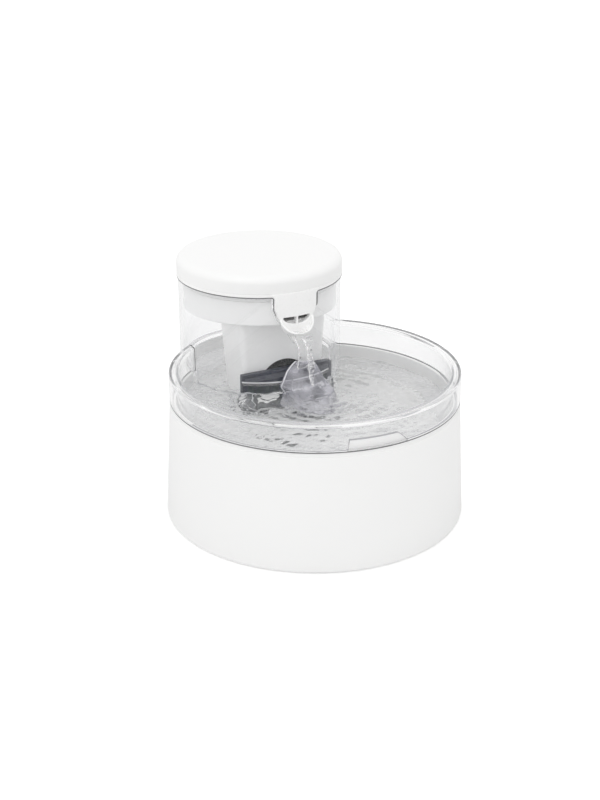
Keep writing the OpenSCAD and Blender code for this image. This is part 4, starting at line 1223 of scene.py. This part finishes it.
class FOUNTAIN_OT_basin(bpy.types.Operator):
    """Make the white upper basin with its collar, and the shroud below it"""

    bl_idname = "fountain.basin"
    bl_label = "Upper basin"

    def execute(self, context):
        settings = context.scene.fountain_upper
        low = BASIN_LOW.z
        band = TOWER_TOP - 3.6
        skirt = COLLAR_R - 0.5
        groove = COLLAR_R - 1.3
        inner = COLLAR_R - 2
        outline = rounded([(0, low, 0), (skirt, low, 1.0), (skirt, band - 0.5, 0.1),
                           (groove, band - 0.5, 0.1), (groove, band, 0.1),
                           (COLLAR_R, band, 0.15), (COLLAR_R, RING_Z, 0),
                           (inner, RING_Z, 0), (inner, low + 2.4, 1.5), (0, low + 2.4, 0)], 5)
        basin = lathe("upper_basin_looks", outline, TOWER_Y, 240)
        outlet = box_solid("outlet", (-OUTLET_HALF, TOWER_Y - 80, low + 2.41),
                           (OUTLET_HALF, TOWER_Y - 30, 136.2))
        combine(basin, [rod("bore", 0, PUMP_Y, RISER_R, low - 1, low + 5, 96), outlet], "DIFFERENCE")
        finish = moulded("White basin", settings.colour, 0.34, 1000, 0.000012, 0.006)
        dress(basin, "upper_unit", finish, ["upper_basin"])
        wall = settings.shroud_wall / MM
        top_half = SHROUD_HIGH.x
        low_z = SHROUD_LOW.z
        low_half = top_half - SHROUD_TAPER
        steps = 12
        outer = []
        hollow = []
        for k in range(steps + 1):
            share = k / steps
            half = low_half + (top_half - low_half) * share
            z = low_z + (low - low_z) * share
            outer.append(shroud_loop(half, 0, z))
            hollow.append(shroud_loop(half, wall, z + (-0.5 if k == 0 else 0.5 if k == steps else 0)))
        shroud = loft("basin_shroud_looks", outer)
        arch = [(-ARCH_R, low_z - 1), (ARCH_R, low_z - 1)]
        arch += arc_points(0, FOAM_HIGH.z - 20, ARCH_R, 0, math.pi, 40)
        arch = prism("arch", arch, DRUM_Y + 40, DRUM_Y + 65)
        combine(shroud, [loft("hollow", hollow), arch], "DIFFERENCE")
        round_edges(shroud, 0.35, 50)
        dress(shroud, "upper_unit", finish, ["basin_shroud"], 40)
        return {"FINISHED"}


# The pouring lip is part of a hollow ball, cut off by a slope.
LIP_BALL_Z = 134.0
LIP_BALL_R = 13.3
LIP_HOLLOW_R = 11.8
LIP_REACH = 9.0
MOUTH_HALF = 10.7
MOUTH_Z = 135.6
MOUTH_H = 5.4


def pouring_lip():
    """Lip under the outlets that the water runs over."""
    wall_y = TOWER_Y - TOWER_R
    low, high = -math.pi / 2 + 0.03, 0.2
    outer = [(0, -LIP_BALL_R)]
    outer += [(LIP_BALL_R * math.cos(a), LIP_BALL_R * math.sin(a)) for a in np.linspace(low, high, 40)]
    inner = [(LIP_HOLLOW_R * math.cos(a), LIP_HOLLOW_R * math.sin(a)) for a in np.linspace(high, low, 36)]
    ball = lathe("pouring_lip", outer + inner + [(0, -LIP_HOLLOW_R)], wall_y, 160)
    ball.data.transform(Matrix.Translation((0, 0, LIP_BALL_Z * MM)))
    drop = math.sqrt(LIP_BALL_R ** 2 - LIP_REACH ** 2)
    bottom = LIP_BALL_Z - 30
    keep = [(wall_y - 0.4, LIP_BALL_Z), (wall_y - LIP_REACH, LIP_BALL_Z - drop),
            (wall_y - LIP_REACH, bottom), (wall_y - 0.4, bottom)]
    return combine(ball, [prism("slope", keep, -40, 40, "X")], "INTERSECT")


class FOUNTAIN_OT_spout(bpy.types.Operator):
    """Make the trim ring with the shield, its two outlets and the pouring lip"""

    bl_idname = "fountain.spout"
    bl_label = "Spout"

    def execute(self, context):
        settings = context.scene.fountain_upper
        plate = hoop("shield", COLLAR_R + 0.05, TOWER_R + 1.4, 100, RING_TOP, TOWER_Y, 360)
        outline = shield_outline(0, RING_TOP + 1, RING_LOW.z)
        combine(plate, [prism("outline", outline, AHEAD_Y, TOWER_Y)], "INTERSECT")
        combine(plate, [pouring_lip()], "UNION")
        mouth = [(MOUTH_HALF * math.cos(a), MOUTH_Z + MOUTH_H * math.sin(a))
                 for a in np.linspace(math.pi, TAU, 40)]
        mouth = prism("mouth", mouth, AHEAD_Y, TOWER_Y - 30)
        web = settings.web / MM / 2
        combine(mouth, [box_solid("web", (-web, TOWER_Y - 95, 120), (web, TOWER_Y, 145))], "DIFFERENCE")
        combine(plate, [mouth], "DIFFERENCE")
        soft = plate.modifiers.new("Even", "REMESH")
        soft.mode = "VOXEL"
        soft.voxel_size = 0.32 * MM
        smooth = plate.modifiers.new("Soften", "SMOOTH")
        smooth.factor = 0.5
        smooth.iterations = 5
        settle(plate)
        ring = lathe("spout_ring_looks", rounded([
            (COLLAR_R - 2, RING_Z, 0.2), (BAND_R, RING_Z, 0.35), (BAND_R, RING_TOP, 0.1),
            (COLLAR_R - 2, RING_TOP, 0.2)], 3), TOWER_Y, 288)
        combine(ring, [plate], "UNION")
        finish = moulded("White spout", settings.colour, 0.30, 1000, 0.00001, 0.004)
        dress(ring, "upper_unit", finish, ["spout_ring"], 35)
        return {"FINISHED"}


class FOUNTAIN_OT_lid(bpy.types.Operator):
    """Make the white lid with its rounded edge and skirt"""

    bl_idname = "fountain.lid"
    bl_label = "Lid"

    def execute(self, context):
        settings = context.scene.fountain_upper
        edge = settings.lid_edge / MM
        crown = settings.crown / MM
        radius = LID_HIGH.x
        top = LID_HIGH.z
        under = top - 2.6
        seat = RING_TOP
        corners = [(0, top + crown, 0), (radius * 0.5, top + crown * 0.9, 0),
                   (radius * 0.82, top + crown * 0.7, 9), (radius, top + crown * 0.4, edge),
                   (radius, seat + 0.06, 0.12), (radius - 1.8, seat + 0.06, 0.05), (radius - 1.8, seat, 0),
                   (radius - 3.6, seat, 0), (radius - 3.6, under, 1), (0, under, 0)]
        lid = lathe("lid_looks", rounded(corners, 10), TOWER_Y, 256)
        # Painted shade: the lid's white is 4.5% darker than the other upper pieces', so that its top, which
        # faces the light, renders less bright.
        colour = [tone * 0.955 for tone in settings.colour]
        finish = moulded("White lid", colour, 0.36, 1000, 0.000012, 0.004)
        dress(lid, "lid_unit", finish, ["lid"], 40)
        return {"FINISHED"}


# ---------------------------------------------------------------- splash ramp
RAMP_H = RAMP_HIGH.z - RAMP_LOW.z
# The painted highlight tube runs this far inside the ramp's edge, from this share of its height up.
RAMP_EDGE_INSET = 0.6
RAMP_EDGE_FROM = 0.45


def ramp_loop(share, inset):
    """Loop of the ramp at a share of its height, from its foot at 0 to its crown at 1."""
    z = share * RAMP_H
    heights = [0.0, RAMP_H - 22, RAMP_H - 17, RAMP_H - 6, RAMP_H - 2.5, RAMP_H]
    shift = float(np.interp(z, heights, [9.0, 8.0, 4.4, 4.0, 4.24, 4.4]))
    half = float(np.interp(z, heights, [20.0, 19.0, 18.24, 12.54, 9.5, 6.65])) - inset
    reach = float(np.interp(z, heights, [26.0, 24.0, 18.0, 9.6, 6.0, 2.64])) - inset
    back = TOWER_Y - TOWER_R - GAP
    loop = []
    steps = 50
    facet = math.pi / 5
    for k in range(steps + 1):
        angle = math.pi + math.pi * k / steps
        flat = math.cos(facet / 2) / math.cos((k * math.pi / steps) % facet - facet / 2)
        x = shift + max(half, 0.4) * flat * math.cos(angle)
        y = max(reach, 0.4) * flat * abs(math.sin(angle))
        loop.append((x, back - y, RAMP_LOW.z + z))
    return loop


class FOUNTAIN_OT_ramp(bpy.types.Operator):
    """Make the smoky clear ramp that the stream falls on"""

    bl_idname = "fountain.ramp"
    bl_label = "Splash ramp"

    def execute(self, context):
        settings = context.scene.fountain_ramp
        wall = settings.wall / MM
        shares = [k / 44 for k in range(45)]
        body = loft("splash_ramp_looks", [ramp_loop(share, 0) for share in shares])
        inner = [ramp_loop(share * (1 - wall / RAMP_H), wall) for share in shares]
        inner[0] = [(x, y, z - 1) for x, y, z in inner[0]]
        combine(body, [loft("inside", inner)], "DIFFERENCE")
        finish = clear("Smoky ramp plastic", PLASTIC_IOR, settings.tint, settings.density,
                       (0.95, 0.95, 0.96), haze=((0.80, 0.795, 0.85), 0.2, 75))
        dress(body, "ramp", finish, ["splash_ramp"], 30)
        # Painted highlight: a pale frosted tube along the ramp's upper edge stands in for the bright line
        # that light draws on it.
        sides = [ramp_loop(share, RAMP_EDGE_INSET) for share in shares if share > RAMP_EDGE_FROM]
        run = [loop[1] for loop in sides] + ramp_loop(1, RAMP_EDGE_INSET)[3:-3:4]
        run += [loop[-2] for loop in reversed(sides)]
        highlight_line = tube("ramp_rim", run, 0.55, 10)
        finish = frosted("Bright ramp edge", (0.93, 0.93, 0.95), 0.7)
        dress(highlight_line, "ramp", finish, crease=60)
        return {"FINISHED"}


# ---------------------------------------------------------------- water
SPLASH = Vector((12.0, -22.0))
WATER_IOR = 1.333
POOL_STEP = 0.9
POOL_BOTTOM = 20
# The water reaches this far into the bowl's wall, so that no air shows between them.
POOL_OVERLAP = 0.3
BUBBLES = 110
BUBBLE_SEED = 7


def noise_at(x, y, z):
    """Smooth noise at a place."""
    return noise.noise(Vector((x, y, z)))


def swell(x, y):
    """Height of the water's surface above its level, as a share of the ripple setting."""
    away = math.hypot(x - SPLASH.x, y - SPLASH.y)
    wander = 5 * noise_at(x * 0.03, y * 0.03, 3.1)
    rings = math.sin((away + wander) * TAU / 9.5) * math.exp(-away / 45)
    rings += 0.6 * math.sin((away - wander * 1.5) * TAU / 15.0 + 1.0) * math.exp(-away / 80)
    chop = noise_at(x * 0.085, y * 0.085, 0.5) + 0.5 * noise_at(x * 0.2, y * 0.2, 7)
    gusts = 0.4 + abs(noise_at(x * 0.03, y * 0.03, 9)) * 2.4
    chop += 0.34 * noise_at(x * 0.24 + y * 0.1, y * 0.42, 2) * gusts
    chop += 0.16 * noise_at(x * 0.4, y * 0.6, 4)
    near_left = math.exp(-((x + 60) ** 2 + (y - 5) ** 2) / 900)
    calm = 1 - 0.7 * math.exp(-((x + 12) ** 2 / 500 + (y + 8) ** 2 / 160))
    return (rings * 0.58 + chop * (0.7 + 0.6 * near_left)) * calm


class FOUNTAIN_OT_pool(bpy.types.Operator):
    """Fill the tank with rippled water"""

    bl_idname = "fountain.pool"
    bl_label = "Pool"

    def execute(self, context):
        settings = context.scene.fountain_water
        ripple = settings.ripple / MM
        xs = np.arange(-100, 100 + POOL_STEP, POOL_STEP)
        ys = np.arange(-122, 126 + POOL_STEP, POOL_STEP)
        verts = []
        for y in ys:
            for x in xs:
                outside = (math.hypot(x, y - TOWER_Y) - TOWER_R + 2.1) / 1.8
                level = DRAWN_Z + (WATER_Z - DRAWN_Z) * min(1, max(0, outside))
                verts.append((x, y, level + ripple * swell(x, y)))
        faces = grid_faces(len(xs), len(ys))
        edge = grid_edge(len(xs), len(ys))
        base = len(verts)
        verts += [(*verts[k][:2], POOL_BOTTOM) for k in edge]
        count = len(edge)
        for k in range(count):
            after = (k + 1) % count
            faces.append([edge[k], edge[after], base + after, base + k])
        faces.append([base + k for k in range(count)])
        water = plain_object("water_pool", verts, faces)
        bottom = FLOOR_Z - POOL_OVERLAP
        tank = drum_cavity("tank", POOL_OVERLAP, bottom, RIM_TOP, 220)
        combine(tank, [lobe_cavity("lobe_tank", POOL_OVERLAP, bottom, RIM_TOP)], "UNION")
        combine(water, [tank], "INTERSECT")
        finish = clear("Pool water", WATER_IOR, settings.tint, settings.density, (0.995, 0.995, 0.995),
                       haze=((0.93, 0.93, 0.92), 0.08, 45))
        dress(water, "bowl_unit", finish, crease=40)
        return {"FINISHED"}


def strand(name, path, steps=28):
    """Closed tube along rows (x, y, z, half width, half depth, twist) of millimetres."""
    loops = []
    for x, y, z, wide, deep, twist in path:
        loop = []
        for k in range(steps):
            angle = TAU * k / steps
            lump = 1 + 0.16 * noise.noise(Vector((math.cos(angle) * 1.3, math.sin(angle) * 1.3, z * 0.35)))
            u = wide * math.cos(angle) * lump
            v = deep * math.sin(angle) * lump
            loop.append((x + u * math.cos(twist) - v * math.sin(twist),
                         y + u * math.sin(twist) + v * math.cos(twist), z))
        loops.append(loop)
    return loft(name, loops)


def smooth_path(rows, count):
    """Rows of numbers, eased through a curve with more rows."""
    rows = np.array(rows, float)
    at = np.linspace(0, len(rows) - 1, count)
    out = []
    for t in at:
        i = min(int(t), len(rows) - 2)
        u = t - i
        p0 = rows[max(i - 1, 0)]
        p1 = rows[i]
        p2 = rows[i + 1]
        p3 = rows[min(i + 2, len(rows) - 1)]
        out.append(0.5 * (2 * p1 + (p2 - p0) * u + (2 * p0 - 5 * p1 + 4 * p2 - p3) * u * u
                          + (3 * p1 - p0 - 3 * p2 + p3) * u ** 3))
    return out


# The falling water's middle line and section: x, y, z, half width, half depth, twist.
VEIL = [(0.2, 2.0, 125.2, 7.0, 1.0, 0.0), (0.6, -2.6, 125.0, 7.6, 1.0, 0.0),
        (1.0, -4.4, 122.0, 7.2, 1.2, 0.0), (1.0, -5.4, 117.0, 6.2, 1.2, 0.05),
        (0.8, -5.8, 112.0, 5.6, 1.1, 0.1), (0.8, -5.8, 107.0, 5.9, 1.0, 0.05),
        (1.2, -5.2, 102.0, 6.4, 0.9, 0.0), (2.0, -3.6, 99.0, 6.2, 0.7, 0.0)]
ROPE = [(2.6, -4.6, 122.5, 4.6, 1.4, 0.0), (3.0, -6.2, 118.5, 3.4, 1.9, 0.3),
        (3.4, -7.0, 114.0, 2.3, 1.9, 0.9), (3.8, -7.2, 109.0, 2.3, 1.6, 1.6),
        (4.6, -7.0, 104.0, 2.1, 2.1, 2.2), (5.4, -6.2, 100.0, 2.4, 1.9, 2.8),
        (5.4, -6.6, 96.0, 2.0, 1.6, 3.0), (4.6, -9.0, 91.5, 1.7, 1.2, 3.1),
        (4.0, -11.6, 88.0, 0.9, 0.7, 3.1)]


class FOUNTAIN_OT_stream(bpy.types.Operator):
    """Pour the stream from the lip onto the ramp, with its bubbles"""

    bl_idname = "fountain.stream"
    bl_label = "Stream"

    def execute(self, context):
        settings = context.scene.fountain_water
        finish = clear("Stream water", WATER_IOR, settings.tint, 2.0, (0.95, 0.95, 0.95),
                       wave=0.0005, wave_scale=240)
        stream = joined("water_stream", [strand("veil", smooth_path(VEIL, 60)),
                                         strand("rope", smooth_path(ROPE, 70))])
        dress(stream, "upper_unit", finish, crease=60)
        rng = np.random.default_rng(BUBBLE_SEED)
        middle = smooth_path(ROPE, 60)
        places = []
        for _ in range(BUBBLES):
            x, y, z, wide, deep, _ = middle[int(rng.uniform(0, 1) * 59)]
            right = rng.normal(0, 0.5) * wide
            back = rng.normal(0, 0.5) * deep
            places.append(((x + right, y + back, z), rng.uniform(0.4, 1.3), (0, 0, 0)))
        work = bmesh.new()
        bmesh.ops.create_icosphere(work, subdivisions=2, radius=settings.bubble)
        mesh = bpy.data.meshes.new("bubble")
        work.to_mesh(mesh)
        work.free()
        air = clear("Bubble air", WATER_IOR, (1, 1, 1), 0.0, (1, 1, 1))
        drops = repeat("water_drops", placed("bubble", mesh), places, air)
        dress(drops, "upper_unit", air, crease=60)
        return {"FINISHED"}


# ---------------------------------------------------------------- inner pieces
class FOUNTAIN_OT_inside(bpy.types.Operator):
    """Give the pieces inside the drum and under the shroud their materials"""

    bl_idname = "fountain.inside"
    bl_label = "Inner pieces"

    def execute(self, context):
        pale = (0.84, 0.85, 0.85)
        finishes = {
            "bottom_cover": moulded("Cover plastic", (0.74, 0.74, 0.735), 0.5, 700, 0.00004, 0.02),
            "motor_can": metal("Drawn steel", (0.55, 0.56, 0.58), 0.28),
            "motor_bracket": metal("Pressed steel", (0.5, 0.51, 0.53), 0.36),
            "control_board": moulded("Solder mask", (0.012, 0.09, 0.04), 0.35, 400, 0.00003, 0.3),
            "board_parts": moulded("Component resin", (0.02, 0.02, 0.022), 0.5, 800, 0.00002, 0.1),
            "dc_socket": moulded("Socket resin", (0.018, 0.018, 0.02), 0.4, 800, 0.00002, 0.1),
            "wire_leads": moulded("Lead jacket", (0.30, 0.02, 0.018), 0.45, 500, 0.00001, 0.05),
            "drive_shaft": metal("Ground steel", (0.7, 0.71, 0.72), 0.15),
            "drive_magnet": moulded("Ferrite", (0.03, 0.03, 0.033), 0.55, 900, 0.00003, 0.15),
            "impeller_pin": metal("Ground pin", (0.7, 0.71, 0.72), 0.15),
            "impeller": moulded("Impeller plastic", pale, 0.4, 900, 0.00001, 0.02),
            "impeller_magnet": moulded("Rotor ferrite", (0.03, 0.03, 0.033), 0.55, 900, 0.00003, 0.15),
            "impeller_bush": moulded("Ceramic", (0.86, 0.84, 0.79), 0.2, 900, 0.000005, 0.02),
            "pump_cover": moulded("Pump cover plastic", pale, 0.4, 900, 0.00001, 0.02),
            "riser_tube": moulded("Riser plastic", pale, 0.35, 900, 0.00001, 0.02),
            "lid_seal": moulded("Silicone", (0.55, 0.57, 0.58), 0.5, 500, 0.00001, 0.03),
        }
        for piece, finish in finishes.items():
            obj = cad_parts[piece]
            if not obj.material_slots:
                obj.data.materials.append(finish)
            for place in obj.material_slots:
                place.material = finish
        return {"FINISHED"}


# ---------------------------------------------------------------- stage
FLOOR_HALF = 9000
FLOOR_GLOW = 0.32
FLOOR_GLOW_THROUGH = 0.13
CAMERA_PLACE = (-0.46947, -0.90495, 0.50129)
CAMERA_TURN = math.radians(-28.0)
CAMERA_YAW = math.radians(-0.60)
CAMERA_PITCH = math.radians(22.79)


def floor_finish(colour):
    """Matte floor with a glow that the camera sees in full, and only in part through clear pieces."""
    finish, make, link, out = blank("Floor")
    matte = node(make, "ShaderNodeBsdfDiffuse", {"Color": (*colour, 1)})
    glow = node(make, "ShaderNodeEmission", {"Color": (1, 1, 1, 1)})
    path = make("ShaderNodeLightPath")
    level = node(make, "ShaderNodeMath", {1: FLOOR_GLOW}, operation="MULTIPLY_ADD")
    behind = node(make, "ShaderNodeMath", {1: FLOOR_GLOW_THROUGH}, operation="MULTIPLY")
    both = make("ShaderNodeAddShader")
    link(path.outputs["Is Transmission Ray"], behind.inputs[0])
    link(behind.outputs[0], level.inputs[2])
    link(path.outputs["Is Camera Ray"], level.inputs[0])
    link(level.outputs[0], glow.inputs["Strength"])
    link(matte.outputs["BSDF"], both.inputs[0])
    link(glow.outputs["Emission"], both.inputs[1])
    link(both.outputs["Shader"], out.inputs["Surface"])
    return finish


def studio_world(settings):
    """Even sky: white to the camera, and by height to gloss and clear pieces."""
    world = bpy.data.worlds.new("Studio")
    make, link, out = emptied(world, "ShaderNodeOutputWorld")
    path = make("ShaderNodeLightPath")
    either = node(make, "ShaderNodeMath", operation="MAXIMUM")
    place = make("ShaderNodeTexCoord")
    parts = make("ShaderNodeSeparateXYZ")
    height = node(make, "ShaderNodeMapRange", {
        "From Min": 0.35, "From Max": 1.0, "To Min": 1.0, "To Max": settings.zenith})
    through = node(make, "ShaderNodeMix", {"A": settings.sky})
    level = node(make, "ShaderNodeMix", {"B": 1.0})
    sky = node(make, "ShaderNodeBackground", {"Color": (1, 1, 1, 1)})
    link(path.outputs["Is Glossy Ray"], either.inputs[0])
    link(path.outputs["Is Transmission Ray"], either.inputs[1])
    link(place.outputs["Generated"], parts.inputs["Vector"])
    link(parts.outputs["Z"], height.inputs["Value"])
    link(either.outputs[0], through.inputs["Factor"])
    link(height.outputs["Result"], through.inputs["B"])
    link(path.outputs["Is Camera Ray"], level.inputs["Factor"])
    link(through.outputs["Result"], level.inputs["A"])
    link(level.outputs["Result"], sky.inputs["Strength"])
    link(sky.outputs["Background"], out.inputs["Surface"])
    return world


def studio_camera(lens):
    """Camera that looks at the fountain from its front left, a little from above."""
    ahead = Vector((-math.sin(CAMERA_TURN), math.cos(CAMERA_TURN), 0))
    across = Vector((math.cos(CAMERA_TURN), math.sin(CAMERA_TURN), 0))
    level_ahead = ahead * math.cos(CAMERA_YAW) + across * math.sin(CAMERA_YAW)
    right = across * math.cos(CAMERA_YAW) - ahead * math.sin(CAMERA_YAW)
    upright = Vector((0, 0, 1))
    forward = level_ahead * math.cos(CAMERA_PITCH) - upright * math.sin(CAMERA_PITCH)
    up = upright * math.cos(CAMERA_PITCH) + level_ahead * math.sin(CAMERA_PITCH)
    camera = bpy.data.cameras.new("camera")
    camera.lens = lens
    camera.sensor_width = 36
    camera.clip_end = 60
    view = placed("camera", camera)
    basis = Matrix((right, up, -forward)).transposed().to_4x4()
    view.matrix_world = Matrix.Translation(CAMERA_PLACE) @ basis
    return view


class FOUNTAIN_OT_stage(bpy.types.Operator):
    """Set the floor, the soft light and the camera"""

    bl_idname = "fountain.stage"
    bl_label = "Stage"

    def execute(self, context):
        settings = context.scene.fountain_stage
        scene = context.scene
        corners = [(FLOOR_HALF * x, FLOOR_HALF * y, 0) for x, y in ((-1, -1), (1, -1), (1, 1), (-1, 1))]
        floor = plain_object("floor", corners, [[0, 1, 2, 3]])
        floor.data.materials.append(floor_finish(settings.floor))
        scene.world = studio_world(settings)
        sun = bpy.data.lights.new("soft_lamp", "SUN")
        sun.energy = settings.sun
        sun.angle = math.radians(50)
        lamp = placed("soft_lamp", sun)
        lamp.rotation_euler = (math.radians(38), 0, math.radians(-52))
        scene.camera = studio_camera(settings.lens)
        scene.view_settings.view_transform = "Standard"
        scene.cycles.max_bounces = 28
        scene.cycles.transmission_bounces = 24
        scene.cycles.glossy_bounces = 12
        scene.cycles.diffuse_bounces = 6
        scene.cycles.transparent_max_bounces = 32
        scene.cycles.use_denoising = True
        scene.cycles.sample_clamp_indirect = 6
        return {"FINISHED"}


class FOUNTAIN_PT_panel(bpy.types.Panel):
    """Lists the fountain's pieces"""

    bl_label = "Pet water fountain"
    bl_idname = "FOUNTAIN_PT_panel"
    bl_space_type = "VIEW_3D"
    bl_region_type = "UI"
    bl_category = "Fountain"

    def draw(self, context):
        for step in STEPS:
            self.layout.operator(step.bl_idname)


SETTINGS = {"fountain_housing": HousingSettings, "fountain_clear": ClearSettings,
            "fountain_upper": UpperSettings, "fountain_filter": FilterSettings,
            "fountain_ramp": RampSettings, "fountain_water": WaterSettings,
            "fountain_stage": StageSettings}
STEPS = (FOUNTAIN_OT_stage, FOUNTAIN_OT_housing, FOUNTAIN_OT_fixings, FOUNTAIN_OT_bowl, FOUNTAIN_OT_tower,
         FOUNTAIN_OT_filter, FOUNTAIN_OT_foam, FOUNTAIN_OT_basin, FOUNTAIN_OT_spout, FOUNTAIN_OT_lid,
         FOUNTAIN_OT_ramp, FOUNTAIN_OT_pool, FOUNTAIN_OT_stream, FOUNTAIN_OT_inside)


def register():
    """Register the settings, the operators and the panel."""
    for name, group in SETTINGS.items():
        bpy.utils.register_class(group)
        setattr(bpy.types.Scene, name, bpy.props.PointerProperty(type=group))
    for step in STEPS:
        bpy.utils.register_class(step)
    bpy.utils.register_class(FOUNTAIN_PT_panel)


def unregister():
    """Take the panel, the operators and the settings away again."""
    bpy.utils.unregister_class(FOUNTAIN_PT_panel)
    for step in reversed(STEPS):
        bpy.utils.unregister_class(step)
    for name, group in reversed(SETTINGS.items()):
        delattr(bpy.types.Scene, name)
        bpy.utils.unregister_class(group)


def main():
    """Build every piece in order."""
    register()
    for step in STEPS:
        area, verb = step.bl_idname.split(".")
        getattr(getattr(bpy.ops, area), verb)()


if __name__ == "__main__":
    main()
